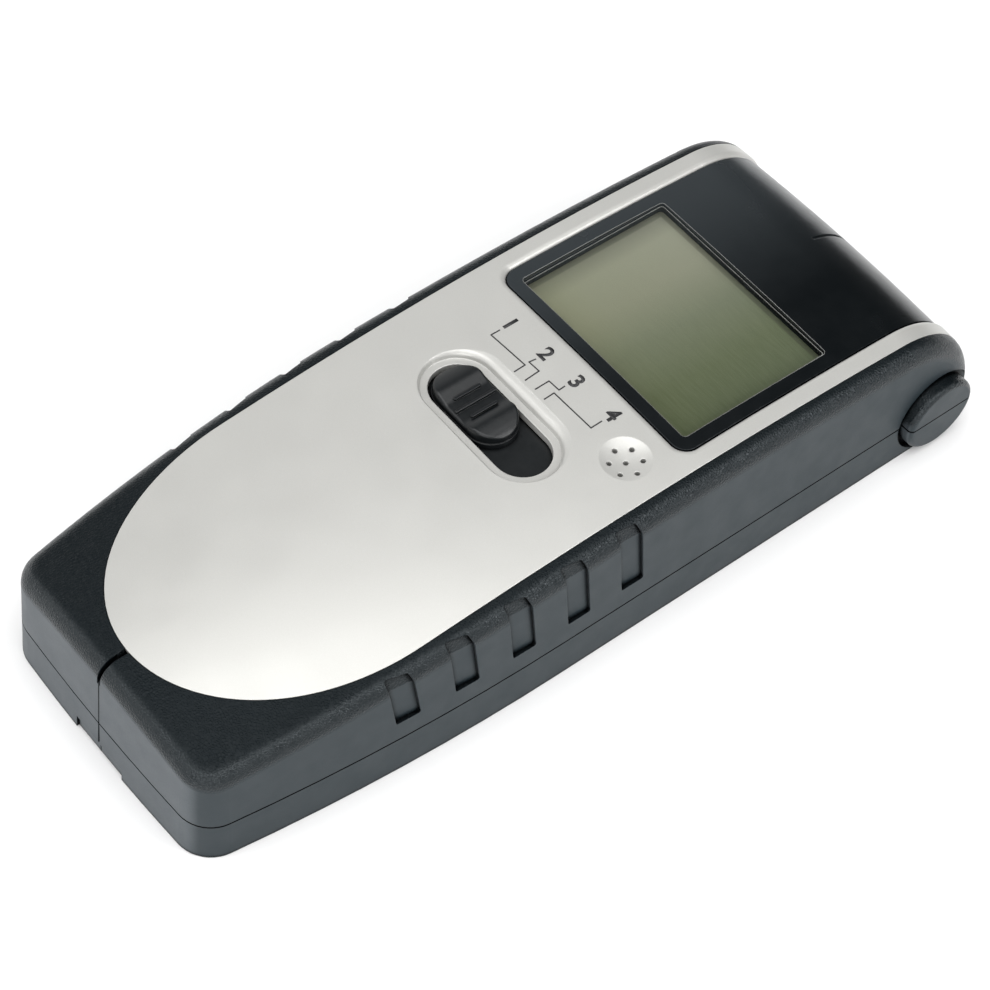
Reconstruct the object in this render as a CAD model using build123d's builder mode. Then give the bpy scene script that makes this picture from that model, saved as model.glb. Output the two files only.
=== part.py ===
"""Hand-held wall scanner (stud finder) with a four-position mode slider.

Millimetres. The origin lies on the sensing face (the back), on the centre line, at
mid length. +Y runs towards the display end, +X to the user's right, +Z out of the
front. Places along the case are stations, counted from the handle end; at() turns a
station into a Y. Names ending in _AT, _LOW or _HIGH that lie along the case are stations.
"""
from build123d import *
import math
import os

# --- case envelope ---
LENGTH = 173.0            # handle end to head end
ORIGIN_AT = LENGTH / 2    # station of the frame's origin
WIDTH = 67.0              # over the straight sides at the sensing face
DRAFT = 2.5               # all walls lean in by this many degrees
PEAK_Z = 30.05            # highest point of the front
PEAK_AT = 108.3
R_ALONG = 1000.0          # front curvature along the case
CROWN_LEAST = 0.00048     # front drops by crown * x^2 across the case
CROWN_AT = 120.0          # station of the flattest crown
CROWN_RISE = 3.0e-7       # growth of the crown with the squared distance from it
TAPER_AT = 72.85          # the sides start to draw in below this station
R_TAPER = 465.0           # radius of the drawn-in sides
R_HANDLE_END = 460.0      # bow of the handle end
R_HEAD_END = 900.0        # bow of the head end
HANDLE_CORNER = 7.0       # plan corner radius at the handle end
ROLL = 20.0               # radius of the head roll
EDGE = 3.8                # edge radius of the case
HULL_LOW = 5.0            # bottom of the hulls that only shape the front layers
PART_Z = 8.8              # parting plane
PART_GAP = 0.10           # half of the parting gap
WALL = 2.8                # side walls
LAYER = 1.6               # thickness of the face plate
ROOF = 3.4                # front surface to the cavity roof
FLOOR = 2.4               # back shell floor
FLOOR_ROOT = FLOOR - 0.2  # what stands on the floor starts inside it
FIT = 0.12                # clearance round inlaid parts
SEAT = 0.05               # gap between parts that rest on each other
ABOVE = 45.0              # clear of the front; top of the cutting prisms
BEYOND = 188.0            # station clear of the head end

# --- face plate and head cover ---
PLATE_HALF = 28.2         # half width where the elliptical tip starts
PLATE_MID = (28.66, 90.0)     # half width, station
PLATE_END = (28.95, 160.0)    # half width, station
PLATE_TIP = 6.6           # station of the elliptical tip
PLATE_ELLIPSE = 39.0      # long half axis of the tip
COVER_HALF = 24.95        # half width of the head cover
COVER_AT = 104.0          # its edge towards the handle
COVER_CORNER = 3.0
COVER_SINK = 0.50         # the cover sits this much lower than the plate
MARK_DEPTH = 0.35         # centre mark on the cover
SHOULDER_R = 1.2          # rounded inner edge of the plate round the cover
WRAP_Z = 11.3             # plate and cover wrap down the head end to here
DISPLAY_HALF = 22.2
DISPLAY_LOW = 106.7
DISPLAY_HIGH = 140.5
DISPLAY_LENGTH = DISPLAY_HIGH - DISPLAY_LOW
DISPLAY_MID = (DISPLAY_LOW + DISPLAY_HIGH) / 2

# --- slider slot and speaker dish ---
SLOT_X = -0.9
SLOT_AT = 82.4
SLOT_HALF = 8.6           # half distance between the slot's end centres
SLOT_R = 5.5
RING_R = 6.9              # flat ring round the slot
DISH_R = 8.6              # edge of the dished surround
DISH_RIM = DISH_R + 0.25  # outer edge of the dish cut
DISH_Z = 28.35            # level of the ring
DISH_BACK_Z = 26.85
SPEAKER_X = 20.4
SPEAKER_AT = 95.0
SPEAKER_R = 4.7
SPEAKER_DEPTH = 0.65
SPEAKER_HOLE = 0.5        # radius of each hole
SPEAKER_PITCH = 3.0       # radius of the ring of six holes

# --- mode slider, in position 1, the leftmost ---
KNOB_X = -4.95
KNOB_HALF = 4.05          # half distance between the knob's end centres
KNOB_R = 4.9
KNOB_EDGE_Z = 28.75       # ends of the knob, just above the ring
KNOB_EDGE_X = KNOB_HALF + KNOB_R + 0.3    # its profile runs a little past each end
KNOB_LOW = 26.0           # underside of the profile
HOLLOW_Z = 29.25          # floor of the thumb hollow
HUMP_Z = 30.15            # tops of the two humps
# distance from the knob centre, height
KNOB_TOP = [(1.4, HOLLOW_Z), (2.6, 29.36), (3.7, 29.80), (4.9, HUMP_Z), (6.6, 29.92)]
SLIDER_TRAVEL = 8.1       # four positions, 2.7 apart
SHUTTER_TOP = 26.60
SOCKET = (3.3, 2.7)       # hole for the actuator in knob and shutter
CONTACTS = 5              # pairs of switch contacts
CONTACT_PITCH = 2.7
CONTACT_SPREAD = 1.6      # contacts lie this far either side of the slot's centre line
HOUSING_MID = KNOB_X + SLIDER_TRAVEL / 2

# --- side features ---
NOTCH_FIRST = 42.7        # station of the head-side wall of the first notch, at its foot
NOTCH_PITCH = 11.95
NOTCH_COUNT = 5
NOTCH_LENGTH = 4.9
NOTCH_DEPTH = 0.75
NOTCH_Z = 13.5
NOTCH_LEAN = 1.5          # the notch leans towards the handle by this much at its top
DISC_AT = 162.2           # round side boss at the head end
DISC_Z = 8.4
DISC_R = 7.9
DISC_ROOT = 28.0          # x inside the wall where it starts
DISC_FACE = 35.3
GROOVE_HALF = 0.75        # V groove at the handle end: half width, depth, and reach outwards
GROOVE_DEPTH = 0.62
GROOVE_OUT = -0.6         # station
BUTTON_AT = 99.0          # start button on the left side
BUTTON_Z = 20.2
BUTTON_HALF = 2.85        # half distance between its end centres
BUTTON_R = 3.25
CAP_FACE = -34.7

# --- battery bay ---
DOOR_HALF = 15.0
DOOR_LOW = 4.6
DOOR_HIGH = 60.0
DOOR_FIT = 0.2
DOOR_Z = 0.1              # outer face of the door
TAB_HALF = 6.6
BATTERY = (26.5, 46.0, 17.5)
BATTERY_LOW = 8.0
BATTERY_Z = 3.25          # side of the battery nearest the sensing face
BATTERY_MID_Z = BATTERY_Z + BATTERY[2] / 2
BATTERY_HIGH = BATTERY_LOW + BATTERY[1]
TERMINAL_X = 6.35
TERMINAL_HEIGHT = 2.6
SNAP_AT = BATTERY_HIGH + 0.3
SNAP_THICK = 4.7
BAY_END_AT = 63.25        # wall at the end of the bay

# --- boards ---
PCB_Z = 16.8
PCB_T = 1.6
PCB_TOP = PCB_Z + PCB_T
PCB_SEAT = PCB_TOP + SEAT
PCB_HALF = 28.2
PCB_LOW = 65.2
PCB_HIGH = 143.9
SENSOR_Z = 3.0
SENSOR_T = 1.2
SENSOR_TOP = SENSOR_Z + SENSOR_T
SENSOR_SEAT = SENSOR_TOP + SEAT
FOIL_T = 0.1              # sensor electrodes
COIL_AT = 129.0
HEADER_X = 14.0
HEADER_AT = 101.2
HEADER_PITCH = 2.54
HEADER_COUNT = 6
HEADER_HOLE = 0.84
HEADER_PIN = 0.64
LCD_TOP = 26.4
LCD_SIZE = (45.0, 34.6, 1.8)
LCD_UNDER = LCD_TOP - LCD_SIZE[2]
HOLDER_TOP = 25.3
LENS_TOP = 28.25

# --- screws: x, station ---
CASE_SCREWS = [(-21.5, 11.0), (21.5, 11.0), (-27.4, 147.0), (27.4, 147.0)]
PCB_SCREWS = [(-23.4, 68.6), (23.4, 68.6), (-26.0, 138.0), (26.0, 138.0)]
TUBE_R = 3.6              # screw tubes of the back shell; the head pair merge with the walls
CASE_HEAD_Z = 4.05        # start and height of the case screw heads
CASE_HEAD_T = 1.9

# --- small parts under the main board: x, station ---
CHIP_CAPACITORS = [
    (-9.5, 112), (9.5, 112), (-9.5, 130), (9.5, 130), (-20, 99), (-11, 99), (6, 78), (-6, 78),
]
CHIP_RESISTORS = [
    (-4, 110), (-1, 110), (2, 110), (5, 110), (-4, 132), (-1, 132), (2, 132), (5, 132),
    (-15, 86), (-12, 86), (18, 79), (21, 79),
]
# x, station, radius, height, on the front of the main board
ELECTROLYTICS = [(-14.5, 70.5, 2.5, 6.0), (9.6, 70.8, 2.5, 6.0), (-24.0, 84.0, 2.0, 5.5)]


# ---------------------------------------------------------------------------
# places, planes and surfaces
# ---------------------------------------------------------------------------

def at(station):
    """The Y of a station."""
    return station - ORIGIN_AT


def roof(x, station, below=0.0):
    """Height of the front surface, or of a surface a distance below it."""
    crown = CROWN_LEAST + CROWN_RISE * (station - CROWN_AT) ** 2
    return PEAK_Z - below - (station - PEAK_AT) ** 2 / (2 * R_ALONG) - crown * x * x


def front_height(point):
    """Height of the front, head roll included, near the middle of the head."""
    station = point.Y + ORIGIN_AT
    start = LENGTH - ROLL
    if station <= start:
        return roof(point.X, station)
    fall = math.sqrt(max(ROLL ** 2 - (station - start) ** 2, 0.0))
    return roof(point.X, start) - ROLL + fall


def lean(z):
    """How far the walls have drawn in at a height."""
    return z * math.tan(math.radians(DRAFT))


def side_plane(x, y=0.0, z=0.0, facing=1):
    """Plane across X: its own x runs along +Y; facing is the sign of its normal."""
    return Plane(origin=(x, y, z), x_dir=(0, 1, 0), z_dir=(facing, 0, 0))


def cross_plane(x, y, z, facing=1):
    """Plane across Y: its own x runs along +X; facing is the sign of its normal."""
    return Plane(origin=(x, y, z), x_dir=(1, 0, 0), z_dir=(0, facing, 0))


def button_plane(x):
    return side_plane(x, at(BUTTON_AT), BUTTON_Z)


def header_places(z):
    return [
        (HEADER_X + (i - (HEADER_COUNT - 1) / 2) * HEADER_PITCH, at(HEADER_AT), z)
        for i in range(HEADER_COUNT)
    ]


def contact_places(z):
    """Both rows of the slide switch contacts."""
    return [
        (HOUSING_MID + (i - (CONTACTS - 1) / 2) * CONTACT_PITCH, at(SLOT_AT) + offset, z)
        for i in range(CONTACTS)
        for offset in (-CONTACT_SPREAD, CONTACT_SPREAD)
    ]


def reach(start, towards, distance):
    """Point a distance from start, in the direction of another point."""
    dx, dy = towards[0] - start[0], towards[1] - start[1]
    scale = distance / math.hypot(dx, dy)
    return (start[0] + dx * scale, start[1] + dy * scale)


def outline(inset):
    """Plan outline of the case, drawn in by inset."""
    half = WIDTH / 2 - inset
    corner = max(HANDLE_CORNER - inset, 1.5)
    low, head = inset, LENGTH - inset
    taper_r = R_TAPER - inset
    end_r = R_HANDLE_END - inset
    head_r = R_HEAD_END - inset
    taper_centre = (half - taper_r, TAPER_AT)
    end_centre = (0.0, low + end_r)
    # the corner circle touches the taper circle and the end circle from inside
    from_taper, from_end = taper_r - corner, end_r - corner
    dx, dy = end_centre[0] - taper_centre[0], end_centre[1] - taper_centre[1]
    apart = math.hypot(dx, dy)
    foot = (from_taper ** 2 - from_end ** 2 + apart ** 2) / (2 * apart)
    rise = math.sqrt(max(from_taper ** 2 - foot ** 2, 0.0))
    ux, uy = dx / apart, dy / apart
    options = [
        (taper_centre[0] + foot * ux + s * rise * uy, taper_centre[1] + foot * uy - s * rise * ux)
        for s in (1, -1)
    ]
    centre = min(options, key=lambda option: abs(option[1] - (low + corner)))
    taper_foot = reach(taper_centre, centre, taper_r)
    end_foot = reach(end_centre, centre, end_r)
    taper_angle = math.atan2(taper_foot[1] - TAPER_AT, taper_foot[0] - taper_centre[0]) / 2
    taper_mid = (
        taper_centre[0] + taper_r * math.cos(taper_angle),
        TAPER_AT + taper_r * math.sin(taper_angle),
    )
    corner_angle = (
        math.atan2(taper_foot[1] - centre[1], taper_foot[0] - centre[0])
        + math.atan2(end_foot[1] - centre[1], end_foot[0] - centre[0])
    ) / 2
    corner_mid = (
        centre[0] + corner * math.cos(corner_angle),
        centre[1] + corner * math.sin(corner_angle),
    )
    drop = head_r - math.sqrt(head_r ** 2 - half ** 2)
    # one side, from the head end round to the handle end
    points = [
        (half, head - drop), (half, TAPER_AT), taper_mid, taper_foot, corner_mid, end_foot,
    ]
    left = [(-x, at(station)) for x, station in points]
    right = [(x, at(station)) for x, station in points]
    with BuildSketch(Plane.XY) as sketch:
        with BuildLine():
            Line(left[0], left[1])
            ThreePointArc(left[1], left[2], left[3])
            ThreePointArc(left[3], left[4], left[5])
            ThreePointArc(left[5], (0, at(low)), right[5])
            ThreePointArc(right[5], right[4], right[3])
            ThreePointArc(right[3], right[2], right[1])
            Line(right[1], right[0])
            ThreePointArc(right[0], (0, at(head)), left[0])
        make_face()
    return sketch.sketch


def above_front(below):
    """The space over the doubly curved front, lowered by below."""
    x0, x1 = -42.0, 42.0
    start, stop = -12.0, 190.0

    # the front is quadratic both ways, so one patch with 3 x 3 poles carries it exactly
    def quadratic(constant, middle, factor):
        """Poles of constant + factor * (station - middle)^2."""
        p, q = start - middle, stop - middle
        return [constant + factor * p * p, constant + factor * p * q, constant + factor * q * q]

    spine = quadratic(PEAK_Z - below, PEAK_AT, -1 / (2 * R_ALONG))
    crown = quadratic(CROWN_LEAST, CROWN_AT, CROWN_RISE)
    stations = (start, (start + stop) / 2, stop)
    poles = [
        [(x, at(station), spine[j] - square * crown[j]) for j, station in enumerate(stations)]
        for x, square in ((x0, x0 * x0), ((x0 + x1) / 2, x0 * x1), (x1, x1 * x1))
    ]
    return extrude(Face.make_bezier_surface(poles), amount=45, dir=(0, 0, 1))


def hull(inset, below, bottom, edge=0.0):
    """The case body: plan outline, leaning walls, curved front and head roll.

    Call it outside any builder block, since its first extrude would join that block.
    """
    base = Pos(0, 0, bottom) * outline(inset + lean(bottom)).face()
    block = extrude(base, amount=40 - bottom, taper=DRAFT)
    with BuildPart() as body:
        add(block)
        add(above_front(below), mode=Mode.SUBTRACT)
        top = body.faces().sort_by(Axis.Z)[-1]
        head_edge = top.edges().sort_by(Axis.Y)[-1]
        fillet(head_edge, radius=ROLL - below)
        if edge:
            # side and head edges, without the upright corners at the handle end
            rim = [
                e for e in body.edges()
                if e.center().Z > bottom + 1.0
                and abs(e.center().X) > 5.0
                and not (abs((e @ 0).Z - (e @ 1).Z) > 5 and e.center().Y < at(100))
            ]
            # the front edge of the handle end
            rim += [
                e for e in body.faces().sort_by(Axis.Z)[-1].edges()
                if abs(e.center().X) < 5.0 and e.center().Y < at(60)
            ]
            fillet(rim, radius=edge)
    return body.part


def prism(sketch, low, high):
    with BuildPart() as solid:
        with BuildSketch(Plane.XY.offset(low)):
            add(sketch)
        extrude(amount=high - low)
    return solid.part


def plate_outline(grow):
    """Plan outline of the face plate, elliptical at the handle end."""
    centre = at(PLATE_TIP + PLATE_ELLIPSE)
    half, mid, end = PLATE_HALF + grow, PLATE_MID[0] + grow, PLATE_END[0] + grow
    mid_y, end_y, far_y = at(PLATE_MID[1]), at(PLATE_END[1]), at(BEYOND)
    with BuildSketch(Plane.XY) as sketch:
        with Locations((0, centre)):
            Ellipse(half, PLATE_ELLIPSE + grow)
        with BuildLine():
            ThreePointArc((half, centre), (mid, mid_y), (end, end_y))
            Polyline((end, end_y), (end, far_y), (-end, far_y), (-end, end_y))
            ThreePointArc((-end, end_y), (-mid, mid_y), (-half, centre))
            Line((-half, centre), (half, centre))
        make_face()
    return sketch.sketch


def cover_outline(grow):
    """Plan outline of the head cover, running on past the head end."""
    low = COVER_AT - grow
    with BuildSketch(Plane.XY) as sketch:
        with Locations((0, at((low + BEYOND) / 2))):
            Rectangle(2 * (COVER_HALF + grow), BEYOND - low)
        corners = sketch.vertices().group_by(Axis.Y)[0]
        fillet(corners, radius=COVER_CORNER + grow)
    return sketch.sketch


def slot_outline(radius):
    with BuildSketch(Plane.XY) as sketch:
        with Locations((SLOT_X, at(SLOT_AT))):
            SlotCenterToCenter(2 * SLOT_HALF, 2 * radius)
    return sketch.sketch


# ---------------------------------------------------------------------------
# solids shared by several pieces
# ---------------------------------------------------------------------------

def disc(sx):
    """Round boss on one side of the head; sx is the sign of its X."""
    with BuildPart() as boss:
        with BuildSketch(side_plane(sx * DISC_ROOT, at(DISC_AT), DISC_Z, sx)):
            Circle(DISC_R)
        extrude(amount=DISC_FACE - DISC_ROOT)
        outer = boss.faces().sort_by(Axis.X)[-1 if sx > 0 else 0]
        fillet(outer.edges(), radius=1.1)
    return boss.part


def disc_groove(sx):
    """Ring cut into the wall round a side boss."""
    with BuildPart() as ring:
        with BuildSketch(side_plane(sx * 32.0, at(DISC_AT), DISC_Z, sx)):
            Circle(DISC_R + 1.1)
            Circle(DISC_R, mode=Mode.SUBTRACT)
        extrude(amount=4.0)
    return ring.part


def case_body():
    """The whole case, solid, with its side bosses."""
    body = hull(0, 0, 0, EDGE)
    with BuildPart() as case:
        add(body)
        for sx in (1, -1):
            add(disc(sx))
        for sx in (1, -1):
            add(disc_groove(sx), mode=Mode.SUBTRACT)
    return case.part


def centre_groove_cutter():
    """V groove down the middle of the handle end and over its front edge."""
    top = roof(0, 3)
    with BuildPart() as groove:
        with BuildSketch(Plane.XY):
            Polygon(
                (-GROOVE_HALF, at(GROOVE_OUT)), (GROOVE_HALF, at(GROOVE_OUT)),
                (0, at(GROOVE_DEPTH)),
                align=None,
            )
        extrude(amount=32)
        with BuildSketch(cross_plane(0, at(-1), 0, -1)):
            Polygon(
                (-GROOVE_HALF, top + 0.55), (GROOVE_HALF, top + 0.55), (0, top - GROOVE_DEPTH),
                align=None,
            )
        extrude(amount=-9.0)
        # the corner between the two runs follows the rounded edge
        with BuildSketch(side_plane(-0.45)):
            Polygon(
                (at(GROOVE_OUT), top - 5.0), (at(0.5), top - 5.0), (at(5.0), top - 0.5),
                (at(5.0), 31), (at(GROOVE_OUT), 31),
                align=None,
            )
        extrude(amount=0.9)
    return groove.part


case_solid = case_body()
hull_plain = hull(0, 0, HULL_LOW)
hull_under_layer = hull(LAYER, LAYER, HULL_LOW)
hull_under_fit = hull(LAYER + FIT, LAYER + FIT, HULL_LOW)
cavity = hull(WALL, ROOF, FLOOR)
centre_groove = centre_groove_cutter()


# ---------------------------------------------------------------------------
# case
# ---------------------------------------------------------------------------

def notch_cutter(steep, sx):
    """One grip notch: a shallow pocket with rounded corners and a slanted facet at its top.

    steep is the station of its head-side wall, sx the sign of its X.
    """
    mid = steep - NOTCH_LENGTH / 2
    drawn_in = max(0.0, TAPER_AT - mid)
    half_width = WIDTH / 2 - drawn_in ** 2 / (2 * R_TAPER)
    turn = math.atan(drawn_in / R_TAPER) + 0.05
    top = roof(30.5, mid) - 0.65
    knee = top - 2.15
    leaned = steep - NOTCH_LEAN
    with BuildPart() as pocket:
        with BuildSketch(side_plane(24)):
            Polygon(
                (at(steep - NOTCH_LENGTH), NOTCH_Z), (at(steep), NOTCH_Z),
                (at(leaned), knee + 0.3), (at(leaned - 0.7), top),
                (at(leaned - 5.0), top + 0.1), (at(leaned - 4.9), knee),
                align=None,
            )
            fillet(vertices(), radius=0.45)
        extrude(amount=16)
    # local x = outwards, local y = +Z; the floor turns with the drawn-in side
    floor = Plane(
        origin=(half_width, at(mid), 0),
        x_dir=(math.cos(turn), -math.sin(turn), 0),
        z_dir=(-math.sin(turn), -math.cos(turn), 0),
    )
    foot_z = NOTCH_Z - 2
    facet_z = top + 1.95
    with BuildPart() as beyond:
        with BuildSketch(floor):
            Polygon(
                (-NOTCH_DEPTH - lean(foot_z), foot_z),
                (-NOTCH_DEPTH - lean(knee), knee),
                (-1.65 - lean(28) - 0.95, facet_z),
                (10, facet_z), (10, foot_z),
                align=None,
            )
        extrude(amount=8, both=True)
    solid = pocket.part & beyond.part
    return solid if sx > 0 else mirror(solid, about=Plane.YZ)


def pillar(place, low, high, radius, hole_radius, hole_depth):
    """Round pillar with a blind screw hole in its lower end."""
    x, station = place
    with BuildPart() as post:
        with Locations((x, at(station), (low + high) / 2)):
            Cylinder(radius, high - low)
        with Locations((x, at(station), low + hole_depth / 2)):
            Cylinder(hole_radius, hole_depth, mode=Mode.SUBTRACT)
    return post.part


def front_shell():
    cut_z = PART_Z + PART_GAP
    inlay = prism(plate_outline(FIT), WRAP_Z - FIT, ABOVE) - hull_under_fit
    with BuildPart() as shell:
        add(case_solid)
        # keep the part above the parting gap
        with Locations((0, 0, cut_z / 2 - 5)):
            Box(90, 190, cut_z + 10, mode=Mode.SUBTRACT)
        # recess for the face plate and the head cover
        add(inlay, mode=Mode.SUBTRACT)
        add(cavity, mode=Mode.SUBTRACT)
        # rebate for the lip of the back shell
        rebate = prism(outline(1.30 + lean(PART_Z)), PART_Z - 1, PART_Z + 1.6)
        add(rebate, mode=Mode.SUBTRACT)
        # windows behind the slider surround, the shutter, the speaker dish and the display
        add(prism(slot_outline(DISH_R + 1.0), 24, 40), mode=Mode.SUBTRACT)
        with Locations((SLOT_X, at(SLOT_AT), 24.95)):
            Box(46.8, 14.2, 4.0, mode=Mode.SUBTRACT)
        with Locations((SPEAKER_X, at(SPEAKER_AT), 26)):
            Cylinder(5.9, 12, mode=Mode.SUBTRACT)
        with Locations((0, at(DISPLAY_MID), 26)):
            Box(2 * DISPLAY_HALF + 2.4, DISPLAY_LENGTH + 2.4, 12, mode=Mode.SUBTRACT)
        # grip notches
        for i in range(NOTCH_COUNT):
            for sx in (1, -1):
                add(notch_cutter(NOTCH_FIRST + i * NOTCH_PITCH, sx), mode=Mode.SUBTRACT)
        add(centre_groove, mode=Mode.SUBTRACT)
        # start button opening in the left wall
        with BuildSketch(button_plane(-36)):
            SlotCenterToCenter(2 * BUTTON_HALF, 2 * BUTTON_R + 0.4)
        extrude(amount=6, mode=Mode.SUBTRACT)
        # pocket behind it for the flange of the button cap
        with BuildSketch(button_plane(-30.65)):
            SlotCenterToCenter(2 * BUTTON_HALF, 2 * BUTTON_R + 2.5)
        extrude(amount=3.5, mode=Mode.SUBTRACT)
        # screw pillars, hanging from the roof
        for place in CASE_SCREWS:
            add(pillar(place, PART_Z + 0.5, roof(*place, 2.0), 2.6, 1.25, 10))
        for place in PCB_SCREWS:
            add(pillar(place, PCB_SEAT, roof(*place, 2.5), 1.8, 0.85, 5.0))
    return shell.part


def back_shell():
    cut_z = PART_Z - PART_GAP
    wall_high, rail_high, tube_high = 19.5, 12, PART_Z + 0.4
    rail_x, rail_z = 15.6, (FLOOR_ROOT + rail_high) / 2
    stub_x, stub_z = 19, 2.6
    with BuildPart() as shell:
        add(case_solid)
        # keep the part below the parting gap
        with Locations((0, 0, cut_z + 20)):
            Box(90, 190, 40, mode=Mode.SUBTRACT)
        add(cavity, mode=Mode.SUBTRACT)
        # lip that closes the parting gap
        lip_outer = prism(outline(1.45 + lean(PART_Z)), cut_z - 1.2, PART_Z + 1.4)
        lip_inner = prism(outline(2.65 + lean(PART_Z)), PART_Z - 4, PART_Z + 3)
        add(lip_outer - lip_inner)
        # door opening and the notch for its latch tab
        with Locations((0, at((DOOR_LOW + DOOR_HIGH) / 2), 1.0)):
            Box(2 * DOOR_HALF, DOOR_HIGH - DOOR_LOW, 4.0, mode=Mode.SUBTRACT)
        with Locations((0, at(DOOR_LOW / 2 - 0.5), 1.0)):
            Box(2 * TAB_HALF, DOOR_LOW + 2.0, 3.9, mode=Mode.SUBTRACT)
        # centre groove runs on below the parting line
        add(centre_groove, mode=Mode.SUBTRACT)
        # notched wall at the end of the battery bay, and two side rails
        with Locations((0, at(BAY_END_AT), (FLOOR_ROOT + wall_high) / 2)):
            Box(34, 1.5, wall_high - FLOOR_ROOT)
        with Locations((0, at(BAY_END_AT), 17.0)):
            Box(16, 2.0, 5.2, mode=Mode.SUBTRACT)
        with Locations((-rail_x, at(33.0), rail_z), (rail_x, at(33.0), rail_z)):
            Box(1.0, 50, rail_high - FLOOR_ROOT)
        # screw tubes, closed but for a counterbored hole
        for x, station in CASE_SCREWS:
            with Locations((x, at(station), (FLOOR_ROOT + tube_high) / 2)):
                Cylinder(TUBE_R, tube_high - FLOOR_ROOT)
        for x, station in CASE_SCREWS:
            with Locations((x, at(station), 3.0)):
                Cylinder(2.7, 6.0, mode=Mode.SUBTRACT)
            with Locations((x, at(station), 6.0)):
                Cylinder(1.6, 12.0, mode=Mode.SUBTRACT)
        # stubs that carry the sensor board
        with Locations(*[(x, at(s), stub_z) for s in (99.5, 156) for x in (-stub_x, stub_x)]):
            Cylinder(1.8, 0.7)
    return shell.part


# ---------------------------------------------------------------------------
# face plate, head cover and lens
# ---------------------------------------------------------------------------

def dish_cutter():
    """Dished surround of the slider slot, open to the front."""
    top = roof(0, SLOT_AT) + 0.10
    deep = top - DISH_Z
    open_z = 36
    # distance from the slot's centre line, height
    shoulder = [
        (RING_R, DISH_Z), (RING_R + 0.16, DISH_Z + 0.42 * deep),
        (RING_R + 0.55, DISH_Z + 0.75 * deep), (DISH_RIM, top),
    ]
    mirrored = [(-x, z) for x, z in shoulder]
    with BuildPart() as cutter:
        # half profile turned round each end of the slot, and drawn straight between them
        for sign in (1, -1):
            end_x = SLOT_X + sign * SLOT_HALF
            plane = Plane(
                origin=(end_x, at(SLOT_AT), 0), x_dir=(sign, 0, 0), z_dir=(0, -sign, 0)
            )
            with BuildSketch(plane):
                with BuildLine():
                    curve = Spline(*shoulder, tangents=[(0.12, 1), (1, 0.16)])
                    Polyline(
                        curve @ 1, (DISH_RIM, open_z), (0, open_z), (0, DISH_Z), curve @ 0
                    )
                make_face()
            revolve(axis=Axis((end_x, at(SLOT_AT), 0), (0, 0, 1)), revolution_arc=360)
        with BuildSketch(side_plane(SLOT_X - SLOT_HALF, at(SLOT_AT))):
            with BuildLine():
                far = Spline(*shoulder, tangents=[(0.12, 1), (1, 0.16)])
                near = Spline(*mirrored, tangents=[(-0.12, 1), (-1, 0.16)])
                Line(near @ 0, far @ 0)
                Polyline(far @ 1, (DISH_RIM, open_z), (-DISH_RIM, open_z), near @ 1)
            make_face()
        extrude(amount=2 * SLOT_HALF)
    return cutter.part


def plate_pads():
    """Thicker pads behind the slider dish and the speaker dish."""
    with BuildPart() as speaker_pad:
        with Locations((SPEAKER_X, at(SPEAKER_AT), 28.0)):
            Cylinder(5.7, 1.9)
    slot_pad = prism(slot_outline(DISH_R + 0.8), DISH_BACK_Z, 29.3)
    return (slot_pad + speaker_pad.part) & hull_plain


def face_plate():
    """Silver layer with the slider slot and the speaker dish."""
    pads = plate_pads()
    dish = dish_cutter()
    sphere_r = (SPEAKER_R ** 2 + SPEAKER_DEPTH ** 2) / (2 * SPEAKER_DEPTH)
    sphere_z = roof(SPEAKER_X, SPEAKER_AT) - SPEAKER_DEPTH + sphere_r
    with BuildPart() as plate:
        add(prism(plate_outline(0), WRAP_Z, ABOVE))
        add(hull_plain, mode=Mode.INTERSECT)
        add(hull_under_layer, mode=Mode.SUBTRACT)
        add(prism(cover_outline(FIT), 0, ABOVE), mode=Mode.SUBTRACT)
        # rounded shoulder round the head cover
        inner = [
            e for e in plate.edges()
            if e.center().Y > at(COVER_AT) - 1.0
            and abs(e.center().X) < COVER_HALF + 1.0
            and abs(e.center().Z - front_height(e.center())) < 0.35
            and e.length > 2.0
        ]
        fillet(inner, radius=SHOULDER_R)
        add(pads)
        add(dish, mode=Mode.SUBTRACT)
        add(prism(slot_outline(SLOT_R), 20, 40), mode=Mode.SUBTRACT)
        # speaker dish: a shallow spherical hollow with seven holes
        with Locations((SPEAKER_X, at(SPEAKER_AT), sphere_z)):
            Sphere(sphere_r, mode=Mode.SUBTRACT)
        with Locations((SPEAKER_X, at(SPEAKER_AT), 28)):
            Cylinder(SPEAKER_HOLE, 8, mode=Mode.SUBTRACT)
            with PolarLocations(SPEAKER_PITCH, 6):
                Cylinder(SPEAKER_HOLE, 8, mode=Mode.SUBTRACT)
    return plate.part


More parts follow.
